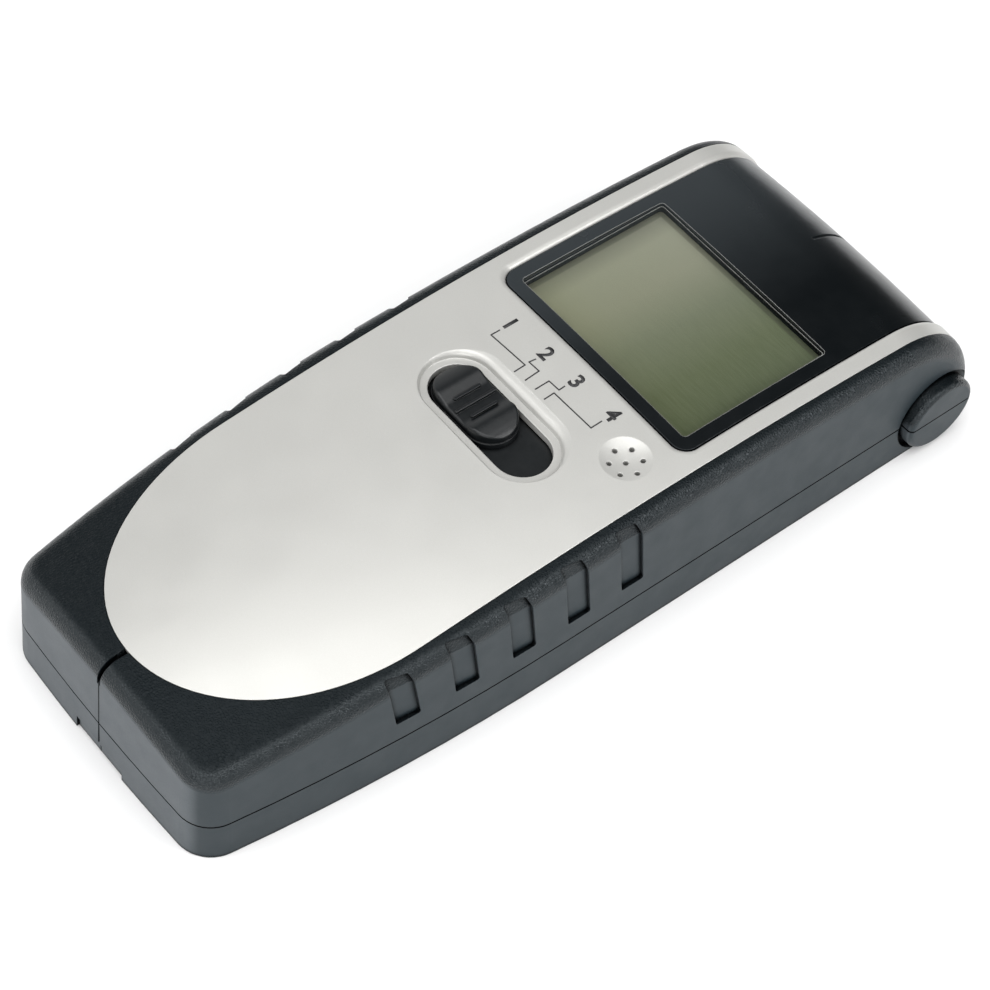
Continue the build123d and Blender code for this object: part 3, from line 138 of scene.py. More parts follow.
class Shader(Nodes):
    """A material with short calls for the nodes used here; lengths are in mm."""

    def __init__(self, name):
        self.material = bpy.data.materials.new(name)
        super().__init__(self.material)
        self.output = self.new("ShaderNodeOutputMaterial")
        coordinates = self.new("ShaderNodeTexCoord")
        scale = self.new("ShaderNodeVectorMath", operation="SCALE")
        scale.inputs["Scale"].default_value = 1000.0     # metres to mm
        self.link(coordinates.outputs["Object"], scale.inputs[0])
        self.mm = scale.outputs[0]
        self.geometry = self.new("ShaderNodeNewGeometry")

    def math(self, operation, a, b=0.0, clamp=False):
        node = self.new("ShaderNodeMath", operation=operation, use_clamp=clamp)
        for socket, value in zip(node.inputs, (a, b, 0.0)):
            self.put(socket, value)
        return node.outputs[0]

    def plus(self, a, b, clamp=False):
        return self.math("ADD", a, b, clamp)

    def minus(self, a, b):
        return self.math("SUBTRACT", a, b)

    def times(self, a, b):
        return self.math("MULTIPLY", a, b)

    def larger(self, a, b):
        return self.math("MAXIMUM", a, b)

    def smaller(self, a, b):
        return self.math("MINIMUM", a, b)

    def size(self, value):
        return self.math("ABSOLUTE", value)

    def spread(self, noise, low, high):
        """The usual range of a noise, stretched to low..high."""
        return self.remap(noise, 0.3, 0.7, low, high)

    def stretch(self, factors):
        node = self.new("ShaderNodeVectorMath", operation="MULTIPLY")
        self.link(self.mm, node.inputs[0])
        node.inputs[1].default_value = factors
        return node.outputs[0]

    def noise(self, scale, detail=3.0, rough=0.5, vector=None):
        node = self.new("ShaderNodeTexNoise")
        self.link(vector if vector is not None else self.mm, node.inputs["Vector"])
        node.inputs["Scale"].default_value = scale
        node.inputs["Detail"].default_value = detail
        node.inputs["Roughness"].default_value = rough
        return node.outputs["Fac"]

    def cells(self, scale, feature="F1"):
        node = self.new("ShaderNodeTexVoronoi", feature=feature)
        self.link(self.mm, node.inputs["Vector"])
        node.inputs["Scale"].default_value = scale
        return node.outputs["Distance"]

    def mix(self, factor, off, on, blend="MIX"):
        """off where the factor is 0, on where it is 1."""
        node = self.new("ShaderNodeMix", data_type="RGBA", blend_type=blend)
        self.put(node.inputs["Factor"], factor)
        self.put(node.inputs[6], off)
        self.put(node.inputs[7], on)
        return node.outputs[2]

    def tint(self, base, mask, amount, colour):
        """Moves base towards a colour, by amount where the mask is 1."""
        return self.mix(self.times(mask, amount), base, colour)

    def mix_shader(self, factor, off, on):
        node = self.new("ShaderNodeMixShader")
        for socket, source in zip(node.inputs, (factor, off, on)):
            self.link(source, socket)
        return node.outputs[0]

    def edges(self, radius, start, stop):
        """1 on convex and concave edges, 0 on flats."""
        dot = self.new("ShaderNodeVectorMath", operation="DOT_PRODUCT")
        self.link(self.rounded(radius), dot.inputs[0])
        self.link(self.geometry.outputs["Normal"], dot.inputs[1])
        return self.remap(self.minus(1.0, dot.outputs["Value"]), start, stop)

    def crevice(self, distance, start, stop):
        """0 deep in grooves and corners, 1 on open surfaces."""
        node = self.new("ShaderNodeAmbientOcclusion", samples=6, only_local=False)
        node.inputs["Distance"].default_value = distance * MM
        return self.remap(node.outputs["AO"], start, stop, smooth=True)

    def rounded(self, radius, samples=6):
        bevel = self.new("ShaderNodeBevel", samples=samples)
        bevel.inputs["Radius"].default_value = radius * MM
        return bevel.outputs["Normal"]

    def bump(self, height, depth, normal=None):
        """height in 0..1 stands for depth millimetres."""
        node = self.new("ShaderNodeBump")
        node.inputs["Strength"].default_value = 1.0
        node.inputs["Distance"].default_value = depth * MM
        self.link(height, node.inputs["Height"])
        if normal is not None:
            self.link(normal, node.inputs["Normal"])
        return node.outputs["Normal"]

    def up(self):
        """The vertical part of the surface normal."""
        return self.split(self.geometry.outputs["Normal"])[2]

    def principled(self, colour, rough, metallic=0.0, normal=None, **extra):
        node = self.new("ShaderNodeBsdfPrincipled")
        self.put(node.inputs["Base Color"], colour)
        self.put(node.inputs["Roughness"], rough)
        self.put(node.inputs["Metallic"], metallic)
        if normal is not None:
            self.link(normal, node.inputs["Normal"])
        for key, value in extra.items():
            self.put(node.inputs[key.replace("_", " ")], value)
        return node.outputs[0]

    def finish(self, shader):
        self.link(shader, self.output.inputs["Surface"])
        return self.material

    def surface(self, *values, **named):
        return self.finish(self.principled(*values, **named))


# ---------------------------------------------------------------------------
# materials
# ---------------------------------------------------------------------------


def case_plastic():
    """Moulded ABS: leather grain on the front and its rounded edges, fine spark texture."""
    s = Shader("case_black")
    blotch = s.noise(scale=0.05, rough=0.55)
    fine = s.noise(scale=2.4, detail=2, rough=0.6)
    # masks: anything facing up, the flat front, and the wall at the handle end (-Y)
    up = s.up()
    top = s.remap(up, start=0.05, stop=0.30, smooth=True)
    flat = s.remap(up, start=0.80, stop=0.965, smooth=True)
    facing_y = s.split(s.geometry.outputs["Normal"])[1]
    end = s.remap(facing_y, start=-0.78, stop=-0.97, smooth=True)
    base = s.mix(blotch, off=(0.0040, 0.0062, 0.0075), on=(0.0070, 0.0100, 0.0118))
    # painted light: the sides get a lighter colour than the top, and the end wall at the handle
    # (-Y) a much lighter one
    painted_lit_walls = s.mix(blotch, off=(0.0075, 0.0155, 0.0205), on=(0.0105, 0.0195, 0.0250))
    painted_lit_walls = s.mix(end, off=painted_lit_walls, on=(0.072, 0.084, 0.094))
    base = s.mix(top, off=painted_lit_walls, on=base)
    base = s.tint(base, fine, amount=0.35, colour=(0.0040, 0.0055, 0.0065))
    scuffs = s.edges(radius=0.35, start=0.03, stop=0.5)
    lightened_edges = s.times(scuffs, s.remap(s.noise(scale=0.35, detail=4, rough=0.65), 0.42, 0.62))
    base = s.tint(base, lightened_edges, amount=0.25, colour=(0.034, 0.039, 0.043))
    # dark joint line between the two shells, and a dark upright line mid-way on the end wall
    x, _, z = s.split(s.mm)
    middle = s.size(x)
    joint = s.remap(s.size(s.minus(z, PARTING)), start=0.15, stop=0.24)
    seam = s.larger(s.remap(middle, start=0.12, stop=0.22), s.minus(1.0, end))
    unshaded = s.crevice(distance=1.3, start=0.55, stop=0.95)
    # the painted shade stays light in the shallow centre groove where it crosses the flat front
    shallow = s.times(s.remap(middle, start=1.5, stop=1.1), s.remap(up, start=0.80, stop=0.95))
    unshaded = s.larger(unshaded, s.times(shallow, 0.8))
    unshaded = s.times(unshaded, s.times(joint, seam))
    # painted shade: near black in grooves and corners; the same colour draws the joint line
    # between the shells and the upright line on the end wall
    base = s.mix(unshaded, off=(0.0010, 0.0012, 0.0014), on=base)
    # bump height: leather where it faces up, spark everywhere
    leather_share, spark_share = 1.0, 0.12
    leather = s.plus(
        s.times(s.remap(s.cells(scale=1.9, feature="DISTANCE_TO_EDGE"), 0.0, 0.30), 0.60),
        s.times(s.noise(scale=3.6, rough=0.6), 0.60),
    )
    spark = s.noise(scale=3.8, rough=0.65)
    height = s.plus(s.times(s.times(leather, top), leather_share), s.times(spark, spark_share))
    normal = s.bump(height, depth=0.085, normal=s.rounded(0.18))
    rough = s.plus(
        s.remap(top, 0.0, 1.0, low=0.46, high=0.29),
        s.spread(s.noise(scale=0.22), low=-0.03, high=0.04),
    )
    rough = s.minus(rough, s.times(lightened_edges, 0.06))
    # reflection: weaker on the flat front, nearly none in grooves
    level = s.remap(flat, 0.0, 1.0, low=0.43, high=0.11)
    level = s.times(level, s.remap(unshaded, 0.0, 1.0, low=0.06, high=1.0))
    return s.surface(
        base, rough, normal=normal, IOR=1.50,
        Specular_IOR_Level=level, Specular_Tint=(0.88, 0.96, 1.0),
    )


def silver_paint():
    """Satin silver lacquer: fine metal flake, slight orange peel, painted highlights along the
    rims.
    """
    s = Shader("plate_silver")
    cloud = s.noise(scale=0.028)
    flake = s.noise(scale=7.5, detail=1)
    base = s.mix(cloud, off=(0.500, 0.498, 0.474), on=(0.535, 0.532, 0.508))
    sparkle = s.remap(flake, start=0.35, stop=0.75, low=0.0, high=0.20)
    base = s.mix(sparkle, off=base, on=(0.66, 0.66, 0.645))
    # painted highlight: the sharp edges are lightened towards near white
    rim = s.edges(radius=0.30, start=0.02, stop=0.30)
    base = s.tint(base, rim, amount=0.45, colour=(0.82, 0.82, 0.81))
    # painted shade: near black in grooves and corners
    unshaded = s.crevice(distance=0.9, start=0.12, stop=0.50)
    base = s.mix(unshaded, off=(0.010, 0.010, 0.010), on=base)
    peel = s.noise(scale=0.9, detail=2)
    height = s.plus(s.times(peel, 0.35), s.times(flake, 0.30))
    normal = s.bump(height, depth=0.006, normal=s.rounded(0.28))
    rough = s.plus(0.36, s.spread(s.noise(scale=0.12), low=-0.025, high=0.035))
    rough = s.minus(rough, s.times(rim, 0.06))
    return s.surface(base, rough, metallic=0.36, normal=normal, IOR=1.5)


def cover_plastic():
    """Smooth satin black of the head cover, with faint polishing clouds and rubbed edges."""
    s = Shader("cover_black")
    cloud = s.noise(scale=0.06)
    base = s.mix(cloud, off=(0.0016, 0.0024, 0.0030), on=(0.0026, 0.0038, 0.0046))
    x, y, _ = s.split(s.mm)
    # painted light: the cover is lighter towards -X, its far side
    painted_far_light = s.remap(x, start=12.0, stop=-26.0, smooth=True)
    base = s.mix(painted_far_light, off=base, on=(0.024, 0.0285, 0.0315))
    # the window's rounded rim catches the light as a thin line
    (x_low, y_low, _), (x_high, y_high, _) = box_mm("display_lens")
    beyond_x = s.larger(s.minus(x_low, x), s.minus(x, x_high))
    beyond_y = s.larger(s.minus(y_low, y), s.minus(y, y_high))
    window = s.remap(s.larger(beyond_x, beyond_y), start=0.75, stop=0.60)
    glint = s.times(s.edges(radius=0.28, start=0.02, stop=0.18), window)
    glint = s.times(glint, s.remap(s.up(), start=0.2, stop=0.6))
    base = s.tint(base, glint, amount=0.85, colour=(0.42, 0.42, 0.40))
    rub = s.edges(radius=0.22, start=0.03, stop=0.45)
    rub = s.times(rub, s.remap(s.noise(scale=0.5, detail=4, rough=0.6), 0.40, 0.60))
    base = s.tint(base, rub, amount=0.3, colour=(0.035, 0.037, 0.040))
    normal = s.bump(s.noise(scale=1.6, rough=0.55), depth=0.0035, normal=s.rounded(0.22))
    patches = s.noise(scale=0.16, detail=4, rough=0.6)
    rough = s.plus(0.24, s.spread(patches, low=-0.03, high=0.04))
    unshaded = s.crevice(distance=1.0, start=0.30, stop=0.80)
    level = s.remap(unshaded, 0.0, 1.0, low=0.05, high=0.46)
    return s.surface(
        base, rough, normal=normal, IOR=1.5,
        Specular_IOR_Level=level, Specular_Tint=(0.90, 0.97, 1.0),
    )


def knob_plastic():
    """Semi-gloss black of the slider, with a painted highlight on its edges."""
    s = Shader("knob_black")
    cloud = s.noise(scale=0.3)
    base = s.mix(cloud, off=(0.0030, 0.0042, 0.0050), on=(0.0055, 0.0072, 0.0084))
    # painted highlight: the edges are lighter and less rough
    lightened_edges = s.edges(radius=0.22, start=0.03, stop=0.40)
    base = s.tint(base, lightened_edges, amount=0.45, colour=(0.050, 0.055, 0.062))
    normal = s.bump(s.noise(scale=3.2, rough=0.6), depth=0.006, normal=s.rounded(0.20, samples=8))
    rough = s.plus(0.34, s.spread(s.noise(scale=0.9), low=-0.03, high=0.04))
    rough = s.minus(rough, s.times(lightened_edges, 0.10))
    unshaded = s.crevice(distance=1.2, start=0.30, stop=0.85)
    # painted shade: darker in grooves and corners
    base = s.mix(unshaded, off=(0.0012, 0.0014, 0.0016), on=base)
    level = s.remap(unshaded, 0.0, 1.0, low=0.08, high=0.42)
    return s.surface(base, rough, normal=normal, IOR=1.5, Specular_IOR_Level=level)


def lens_acrylic():
    """Clear window: see-through face, with a light frosted sawn edge."""
    s = Shader("clear_lens")
    clear = s.new("ShaderNodeBsdfTransparent")
    s.put(clear.inputs["Color"], (0.955, 0.965, 0.950))
    gloss = s.new("ShaderNodeBsdfGlossy")
    smear = s.noise(scale=0.2, detail=2, rough=0.6)
    s.put(gloss.inputs["Roughness"], s.remap(smear, 0.35, 0.65, low=0.030, high=0.040))
    s.put(gloss.inputs["Color"], (1, 1, 1))
    s.link(s.bump(s.noise(scale=0.08, detail=2), depth=0.004), gloss.inputs["Normal"])
    fresnel = s.new("ShaderNodeFresnel")
    fresnel.inputs["IOR"].default_value = 1.49
    # only the camera sees the reflection, and only on the outer side
    outside = s.minus(1.0, s.geometry.outputs["Backfacing"])
    seen = s.times(outside, s.new("ShaderNodeLightPath").outputs["Is Camera Ray"])
    mirror = s.times(fresnel.outputs[0], seen)
    face = s.mix_shader(mirror, off=clear.outputs[0], on=gloss.outputs[0])
    frost_colour = s.mix(s.noise(scale=2.0), off=(0.42, 0.43, 0.40), on=(0.60, 0.61, 0.58))
    frost = s.principled(frost_colour, rough=0.35)
    tilt = s.size(s.up())
    bevel = s.times(s.remap(tilt, start=0.98, stop=0.85), s.remap(tilt, start=0.15, stop=0.45))
    # the cut edge catches the light as a thin bright line
    rim = s.edges(radius=0.40, start=0.01, stop=0.09)
    rim = s.times(rim, s.times(s.remap(s.up(), start=0.80, stop=0.95), outside))
    frosted = s.larger(s.times(bevel, 0.85), s.times(rim, 0.80))
    return s.finish(s.mix_shader(frosted, off=face, on=frost))


def lcd_face():
    """Unlit reflective display: painted light makes it warm grey towards -X, shading to a darker
    olive towards +X.
    """
    s = Shader("lcd_glass")
    (x_low, y_low, _), (x_high, y_high, _) = box_mm("lcd_glass")
    x, y, _ = s.split(s.mm)
    u = s.remap(x, x_low, x_high)
    v = s.remap(y, y_low, y_high)
    # painted light: lighter towards -X and darker towards +X; the darker first stop is a painted
    # shadow of the pocket wall along the -X edge
    across = s.ramp(u, (
        (0.00, (0.150, 0.148, 0.126)),
        (0.12, (0.240, 0.238, 0.190)),
        (0.30, (0.215, 0.213, 0.166)),
        (0.52, (0.140, 0.149, 0.108)),
        (0.75, (0.096, 0.109, 0.066)),
        (1.00, (0.077, 0.091, 0.055)),
    ))
    along = s.ramp(v, (
        (0.0, (0.93, 0.94, 0.80)),
        (0.3, (0.97, 0.98, 0.93)),
        (1.0, (1.08, 1.08, 1.10)),
    ))
    base = s.mix(1.0, across, along, blend="MULTIPLY")
    # faint brushing of the reflector under the glass, drawn out along X
    brush = s.noise(scale=1.0, rough=0.6, vector=s.stretch((0.25, 3.0, 1.0)))
    base = s.mix(s.spread(brush, low=0.0, high=0.10), off=base, on=(0.26, 0.27, 0.19))
    # sealed border of the cell
    inside_x = s.smaller(s.minus(x, x_low), s.minus(x_high, x))
    inside_y = s.smaller(s.minus(y, y_low), s.minus(y_high, y))
    border = s.remap(s.smaller(inside_x, inside_y), start=1.55, stop=1.25)
    base = s.tint(base, border, amount=0.45, colour=(0.055, 0.057, 0.045))
    rough = s.spread(s.noise(scale=0.4), low=0.42, high=0.52)
    return s.surface(base, rough, IOR=1.45, Specular_IOR_Level=0.12)


def moulded(name, dark, light, rough=0.45, grain=2.5, depth=0.012):
    """Plain injection-moulded plastic for inside parts."""
    s = Shader(name)
    base = s.mix(s.noise(scale=0.12), dark, light)
    # painted highlight: the edges are lighter
    edge = s.edges(radius=0.25, start=0.04, stop=0.5)
    base = s.tint(base, edge, amount=0.25, colour=lighter(light, gain=2.2, lift=0.01))
    normal = s.bump(s.noise(grain, rough=0.6), depth, s.rounded(0.12, samples=4))
    rough = s.plus(rough, s.spread(s.noise(scale=0.5), low=-0.04, high=0.05))
    return s.surface(base, rough, normal=normal)


def metal(name, dark, light, rough, stretch):
    """Bare or plated metal with directional brushing and slight tarnish."""
    s = Shader(name)
    brush = s.noise(scale=1.0, detail=4, rough=0.6, vector=s.stretch(stretch))
    base = s.mix(brush, dark, light)
    stain = s.remap(s.noise(scale=0.35, detail=4, rough=0.65), start=0.52, stop=0.72)
    base = s.tint(base, stain, amount=0.3, colour=(0.3, 0.27, 0.22))
    edge = s.edges(radius=0.15, start=0.04, stop=0.5)
    base = s.tint(base, edge, amount=0.4, colour=lighter(light, gain=1.25))
    normal = s.bump(brush, depth=0.004, normal=s.rounded(0.08, samples=4))
    rough = s.plus(rough, s.times(stain, 0.18))
    return s.surface(base, rough, metallic=1.0, normal=normal)


def rubber(name, dark, light):
    s = Shader(name)
    base = s.mix(s.noise(scale=0.4), dark, light)
    fine = s.noise(scale=6.0, detail=2)
    normal = s.bump(fine, depth=0.008)
    return s.surface(base, s.spread(fine, low=0.50, high=0.62), normal=normal)


def foam():
    s = Shader("foam")
    pores = s.cells(scale=1.9)
    # painted shade: darker inside the pores
    light = s.remap(pores, start=0.1, stop=0.5)
    base = s.mix(light, off=(0.018, 0.018, 0.020), on=(0.075, 0.075, 0.078))
    normal = s.bump(s.plus(pores, s.times(s.noise(scale=4.0), 0.4)), depth=0.25)
    return s.surface(base, rough=0.92, normal=normal, Sheen_Weight=0.25)


def battery_wrap():
    """Dark jacket with a copper-coloured band and a grey rim at the +Y end."""
    s = Shader("battery_wrap")
    y_high = box_mm("battery_case")[1][1]
    y = s.split(s.mm)[1]
    band = s.remap(y, start=y_high - 11.2, stop=y_high - 11.0)
    base = s.mix(band, off=(0.020, 0.022, 0.026), on=(0.46, 0.24, 0.10))
    rim = s.remap(y, start=y_high - 0.9, stop=y_high - 0.6)
    base = s.mix(rim, off=base, on=(0.55, 0.55, 0.54))
    grime = s.remap(s.noise(scale=0.4, detail=4, rough=0.6), 0.45, 0.75, low=0.0, high=0.25)
    base = s.mix(grime, off=base, on=(0.06, 0.06, 0.065))
    normal = s.bump(s.noise(scale=1.2), depth=0.010, normal=s.rounded(0.2, samples=4))
    metallic = s.plus(0.25, s.times(band, 0.6), clamp=True)
    rough = s.spread(s.noise(scale=0.8), low=0.26, high=0.36)
    return s.surface(base, rough, metallic, normal)


def solder_mask():
    """Green board: copper traces show through as lighter lines under the mask."""
    s = Shader("board_green")
    x, y, _ = s.split(s.mm)
    weave = s.times(s.math("SINE", s.times(x, 9.0)), s.math("SINE", s.times(y, 9.0)))
    weave = s.remap(weave, start=-1, stop=1, low=0.0, high=0.35)
    base = s.mix(weave, off=(0.008, 0.075, 0.030), on=(0.012, 0.100, 0.042))
    brick = s.new("ShaderNodeTexBrick", offset=0.35, squash=1.4)
    s.link(s.mm, brick.inputs["Vector"])
    brick.inputs["Scale"].default_value = 0.22
    brick.inputs["Mortar Size"].default_value = 0.035
    brick.inputs["Mortar Smooth"].default_value = 0.1
    traces = brick.outputs["Fac"]
    base = s.tint(base, traces, amount=0.55, colour=(0.035, 0.200, 0.085))
    side = s.remap(s.size(s.up()), start=0.5, stop=0.2)
    base = s.mix(side, off=base, on=(0.30, 0.26, 0.12))
    height = s.plus(s.times(traces, 0.6), s.times(s.noise(scale=2.0), 0.2))
    rough = s.spread(s.noise(scale=0.6), low=0.24, high=0.34)
    return s.surface(base, rough, normal=s.bump(height, depth=0.03))


def winding():
    """Enamelled copper: fine turns stacked across the coil's height."""
    s = Shader("copper")
    z = s.split(s.mm)[2]
    turn = s.math("SINE", s.times(z, 26.0))
    base = s.mix(s.noise(scale=0.8), off=(0.40, 0.13, 0.045), on=(0.62, 0.25, 0.10))
    # painted shade: darker in the grooves between turns
    gap = s.remap(turn, start=-1.0, stop=-0.2, low=0.5, high=0.0)
    base = s.mix(gap, off=base, on=(0.09, 0.025, 0.010))
    normal = s.bump(s.remap(turn, start=-1, stop=1), depth=0.05)
    rough = s.spread(s.noise(scale=1.0), low=0.25, high=0.36)
    return s.surface(base, rough, metallic=0.9, normal=normal)


def ink():
    """Printed black ink: slightly patchy, matt."""
    s = Shader("print_ink")
    patch = s.noise(scale=3.0, detail=4, rough=0.6)
    base = s.mix(patch, off=(0.012, 0.012, 0.013), on=(0.028, 0.028, 0.029))
    normal = s.bump(s.noise(scale=8.0, detail=2), depth=0.003)
    return s.surface(base, s.spread(patch, low=0.42, high=0.55), normal=normal)


# The shared recipes take: name, dark colour, light colour, then
#   metal: roughness, brushing frequency along X, Y and Z
#   moulded: roughness, grain scale, grain depth
MADE = (
    case_plastic(),
    silver_paint(),
    cover_plastic(),
    lens_acrylic(),
    lcd_face(),
    metal("lcd_backing", (0.42, 0.44, 0.36), (0.52, 0.54, 0.46), 0.35, (0.4, 8.0, 1.0)),
    moulded("inner_plastic", (0.020, 0.020, 0.021), (0.034, 0.034, 0.036)),
    rubber("grey_rubber", (0.16, 0.165, 0.18), (0.26, 0.265, 0.28)),
    knob_plastic(),
    metal("steel_plate", (0.46, 0.46, 0.47), (0.62, 0.62, 0.63), 0.27, (0.4, 9.0, 3.0)),
    metal("tinned_metal", (0.62, 0.61, 0.59), (0.78, 0.77, 0.75), 0.22, (2.0, 2.0, 2.0)),
    foam(),
    battery_wrap(),
    rubber("lead_red", (0.36, 0.008, 0.008), (0.52, 0.02, 0.018)),
    rubber("lead_black", (0.010, 0.010, 0.011), (0.022, 0.022, 0.024)),
    solder_mask(),
    moulded("chip_black", (0.012, 0.012, 0.013), (0.022, 0.022, 0.024), 0.5, 5.0, 0.02),
    metal("capacitor_can", (0.10, 0.10, 0.14), (0.22, 0.22, 0.27), 0.33, (6.0, 6.0, 0.5)),
    moulded("chip_tan", (0.34, 0.23, 0.13), (0.48, 0.35, 0.22), 0.5, 4.0, 0.01),
    moulded("buzzer_black", (0.010, 0.010, 0.011), (0.020, 0.020, 0.022), 0.38, 3.0, 0.008),
    winding(),
    metal("screw_steel", (0.26, 0.26, 0.27), (0.42, 0.42, 0.43), 0.30, (3.0, 3.0, 3.0)),
)
# a name already taken gets a numbered ending, so both sides are matched without it
MATERIALS = {material.name.split(".")[0]: material for material in MADE}

for piece in PIECES.values():
    slots = piece.data.materials
    for i, old in enumerate(slots):
        slots[i] = MATERIALS.get(old.name.split(".")[0], old)

# ---------------------------------------------------------------------------
# printed marks on the silver plate
# ---------------------------------------------------------------------------
HANDLE_END = -86.5 * MM      # Y of the handle end, where stations start
INK_TOP = 0.045 * MM         # above the plate
INK_SINK = -0.02 * MM        # the underside lies below the plate's surface
LINE_WIDTH = 0.24 * MM
LINE_STEP = 0.0012           # longest straight run between points, metres
NUMERAL_SIZE = 4.3 * MM
NUMERAL_SWELL = 0.12 * MM    # thickens the strokes of the font

# bends of each leader line: X and station from the handle end, mm
LEADERS = (
    ((-14.85, 95.79), (-14.89, 93.78), (-6.00, 94.23), (-5.91, 91.68)),
    ((-5.92, 96.65), (-6.11, 95.22), (-3.50, 95.34), (-3.29, 92.01)),
    ((1.75, 96.87), (1.83, 95.45), (-0.74, 95.32), (-0.71, 92.14)),
    ((11.42, 97.14), (11.47, 94.61), (1.83, 94.32), (1.92, 92.00)),
)
# numeral, X of its centre and station of its baseline, mm
NUMERALS = (("1", -14.9, 96.75), ("2", -5.8, 97.45), ("3", 2.2, 97.75), ("4", 11.5, 98.05))

INK = ink()
PLATE = BVHTree.FromObject(PIECES["face_plate"], bpy.context.evaluated_depsgraph_get())
plate_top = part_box("face_plate")[1].z


def plate_z(x, y):
    point = PLATE.ray_cast(Vector((x, y, plate_top + 0.01)), Vector((0, 0, -1)))[0]
    return point.z if point is not None else plate_top


def on_plate(x, station):
    return (x * MM, station * MM + HANDLE_END)


def lay_on_plate(bm):
    """Turns a flat sheet in the XY plane into a thin closed skin that follows the plate."""
    bmesh.ops.remove_doubles(bm, verts=bm.verts, dist=1e-6)
    bmesh.ops.recalc_face_normals(bm, faces=bm.faces)
    if sum(face.normal.z for face in bm.faces) < 0:
        bmesh.ops.reverse_faces(bm, faces=bm.faces)
    made = bmesh.ops.extrude_face_region(bm, geom=list(bm.faces))
    top = {item for item in made["geom"] if isinstance(item, bmesh.types.BMVert)}
    for vert in bm.verts:
        vert.co.z = plate_z(vert.co.x, vert.co.y) + (INK_TOP if vert in top else INK_SINK)
    bmesh.ops.recalc_face_normals(bm, faces=bm.faces)


def add_mesh(name, bm, material):
    mesh = bpy.data.meshes.new(name)
    bm.to_mesh(mesh)
    bm.free()
    mesh.materials.append(material)
    added = bpy.data.objects.new(name, mesh)
    scene.collection.objects.link(added)
    return added


def printed(name, bm):
    lay_on_plate(bm)
    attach(add_mesh(name, bm, INK), "case")


def stroke(bm, points):
    """A mitred flat line through the points, cut short enough to follow the plate."""
    bends = [Vector(point) for point in points]
    dense = [bends[0]]
    for start, stop in zip(bends, bends[1:]):
        count = max(1, math.ceil((stop - start).length / LINE_STEP))
        dense += [start.lerp(stop, k / count) for k in range(1, count + 1)]
    rows = []
    for i, point in enumerate(dense):
        before = (point - dense[i - 1]).normalized() if i else (dense[1] - point).normalized()
        after = (dense[i + 1] - point).normalized() if i + 1 < len(dense) else before
        tangent = (before + after).normalized()
        side = Vector((-tangent.y, tangent.x))
        # the floor of 0.35 keeps the mitre of a sharp bend short
        reach = LINE_WIDTH / 2 / max(0.35, side.dot(Vector((-before.y, before.x))))
        rows.append([bm.verts.new((*(point + side * r), 0)) for r in (reach, -reach)])
    for (a, b), (c, d) in zip(rows, rows[1:]):
        bm.faces.new((a, b, d, c))


def numeral(text, x, station):
    curve = bpy.data.curves.new("numeral_" + text, "FONT")
    curve.body = text
    curve.size = NUMERAL_SIZE
    curve.offset = NUMERAL_SWELL
    curve.align_x = "CENTER"
    curve.resolution_u = 6
    holder = bpy.data.objects.new("numeral_curve_" + text, curve)
    scene.collection.objects.link(holder)
    bpy.context.view_layer.update()
    depsgraph = bpy.context.evaluated_depsgraph_get()
    flat = bpy.data.meshes.new_from_object(holder.evaluated_get(depsgraph))
    bpy.data.objects.remove(holder)
    bm = bmesh.new()
    bm.from_mesh(flat)
    bpy.data.meshes.remove(flat)
    x_plate, y_plate = on_plate(x, station)
    for vert in bm.verts:
        vert.co = Vector((vert.co.x + x_plate, vert.co.y + y_plate, 0))
    printed("numeral_" + text, bm)


for i, bends in enumerate(LEADERS):
    bm = bmesh.new()
    stroke(bm, [on_plate(*bend) for bend in bends])
    printed(f"leader_line_{i + 1}", bm)
for entry in NUMERALS:
    numeral(*entry)

# ---------------------------------------------------------------------------
# floor
# ---------------------------------------------------------------------------
FLOOR_REACH = 4          # half the side of the square sheet, metres
FLOOR_GAP = 0.0002       # below the case, metres
SHORT_RAY = 0.0012       # rays shorter than this pass through the sheet, metres


def floor_paper():
    s = Shader("studio_floor")
    paper = s.mix(s.noise(scale=0.004), off=(0.90, 0.90, 0.90), on=(0.925, 0.925, 0.925))
    grain = s.bump(s.noise(scale=0.6, detail=4), depth=0.02)
    sheet = s.principled(paper, rough=0.85, normal=grain)
    # the sheet is seen from above only, and the gap under the case lets light through
    path = s.new("ShaderNodeLightPath").outputs
    short = s.math("LESS_THAN", path["Ray Length"], SHORT_RAY)
    gap = s.times(short, s.minus(1.0, path["Is Camera Ray"]))
    hidden = s.larger(s.geometry.outputs["Backfacing"], gap)
    clear = s.new("ShaderNodeBsdfTransparent").outputs[0]
    return s.finish(s.mix_shader(hidden, off=sheet, on=clear))


paper = floor_paper()
bm = bmesh.new()
signs = ((-1, -1), (1, -1), (1, 1), (-1, 1))
bm.faces.new([bm.verts.new((x * FLOOR_REACH, y * FLOOR_REACH, 0)) for x, y in signs])
floor = add_mesh("studio_floor", bm, paper)
floor.location.z = min(0.0, cad_low.z) - FLOOR_GAP

# ---------------------------------------------------------------------------
# world
# ---------------------------------------------------------------------------
# brightness by height, 0 straight down and 1 straight up:
# bright backdrop near the horizon, dim band above it, bright ceiling
SKY = (
    (0.00, 0.95), (0.50, 0.95), (0.58, 0.90), (0.70, 0.75), (0.785, 0.60),
    (0.84, 0.34), (0.88, 0.13), (0.91, 0.11), (0.955, 0.60), (1.00, 1.00),
)

world = bpy.data.worlds.new("studio")
scene.world = world
sky = Nodes(world)


def sky_math(operation, a, b):
    node = sky.new("ShaderNodeMath", operation=operation)
    sky.put(node.inputs[0], a)
    sky.put(node.inputs[1], b)
    return node.outputs[0]


def sky_turn(start, stop, low=0.0):
    """A smooth step over the heading, in degrees from +Y towards -X."""
    return sky.remap(heading, math.radians(start), math.radians(stop), low, smooth=True)


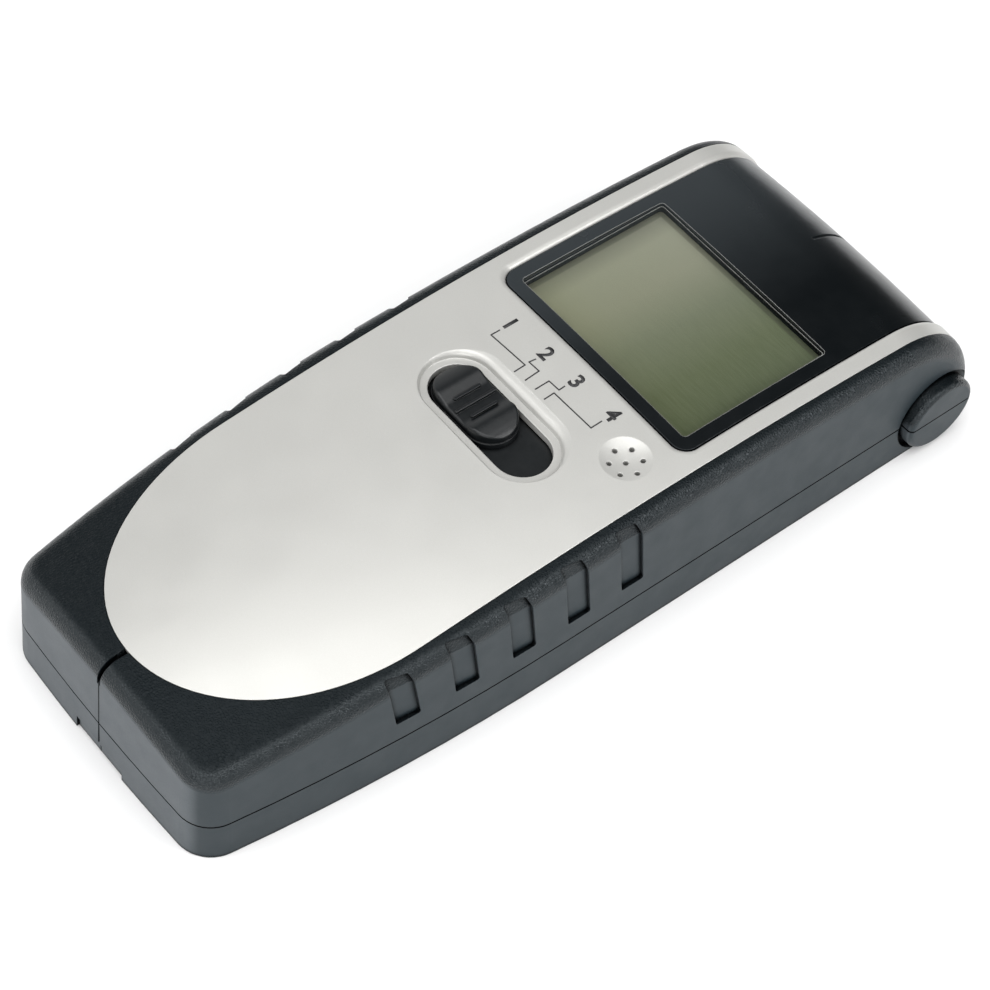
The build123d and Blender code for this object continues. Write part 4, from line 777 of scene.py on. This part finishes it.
output = sky.new("ShaderNodeOutputWorld")
direction = sky.new("ShaderNodeVectorMath", operation="NORMALIZE")
sky.link(sky.new("ShaderNodeTexCoord").outputs["Generated"], direction.inputs[0])
x, y, z = sky.split(direction.outputs[0])
brightness = sky.ramp(sky.remap(z, -1.0, 1.0), [(at, (grey,) * 3) for at, grey in SKY])
# the backdrop is dimmed around +Y and round towards +X, between the horizon and the ceiling
heading = sky_math("ARCTAN2", sky_math("MULTIPLY", x, -1.0), y)
share = sky_math("MAXIMUM", sky_turn(33, 46, low=0.10), sky_turn(-35, -75))
for start, stop in ((0.70, 0.85), (0.02, -0.02)):
    share = sky_math("MAXIMUM", share, sky.remap(z, start, stop, smooth=True))
dimmed = sky.new("ShaderNodeVectorMath", operation="SCALE")
sky.link(brightness, dimmed.inputs[0])
sky.link(share, dimmed.inputs["Scale"])
background = sky.new("ShaderNodeBackground")
sky.link(dimmed.outputs[0], background.inputs["Color"])
background.inputs["Strength"].default_value = 0.95
sky.link(background.outputs[0], output.inputs["Surface"])

# ---------------------------------------------------------------------------
# lights: name, place (m), width and height (m), power (W); all aim at the middle
# ---------------------------------------------------------------------------
SOFTBOXES = (
    ("overhead", (0.10, -0.10, 0.95), (1.15, 0.95), 8.6),
    ("front_fill", (0.75, -0.85, 0.55), (0.8, 0.6), 4.0),
    ("handle_key", (-0.42, -0.62, 0.60), (0.60, 0.60), 1.4),
    ("head_rim", (0.62, 0.42, 0.62), (0.22, 0.42), 2.6),
)
middle = (cad_low + cad_high) / 2
for name, place, size, power in SOFTBOXES:
    light = bpy.data.lights.new(name, "AREA")
    light.shape = "RECTANGLE"
    light.size, light.size_y = size
    light.energy = power
    lamp = bpy.data.objects.new(name, light)
    lamp.location = place
    lamp.rotation_mode = "QUATERNION"
    lamp.rotation_quaternion = (middle - Vector(place)).to_track_quat("-Z", "Y")
    scene.collection.objects.link(lamp)

# ---------------------------------------------------------------------------
# camera: a three-quarter look from +X and -Y, over the handle's right side
# ---------------------------------------------------------------------------
CAMERA_PLACE = (0.217559, -0.214907, 0.402223)     # metres
azimuth = math.radians(45.566)       # from -Y towards +X
elevation = math.radians(52.436)
roll = math.radians(6.92)

lens = bpy.data.cameras.new("camera")
lens.lens = 101.75
lens.sensor_width = 36.0
lens.clip_start, lens.clip_end = 0.02, 50
camera = bpy.data.objects.new("camera", lens)
scene.collection.objects.link(camera)
back = Vector((
    math.sin(azimuth) * math.cos(elevation),
    -math.cos(azimuth) * math.cos(elevation),
    math.sin(elevation),
))
level_right = Vector((math.cos(azimuth), math.sin(azimuth), 0))
level_up = back.cross(level_right)
right = math.cos(roll) * level_right + math.sin(roll) * level_up
up = -math.sin(roll) * level_right + math.cos(roll) * level_up
pose = Matrix((right, up, back)).transposed().to_4x4()
pose.translation = CAMERA_PLACE
camera.matrix_world = pose
scene.camera = camera

scene.cycles.caustics_reflective = False
scene.cycles.caustics_refractive = False
scene.view_settings.view_transform = "Standard"
scene.view_settings.look = "None"
scene.view_settings.exposure = 0.0
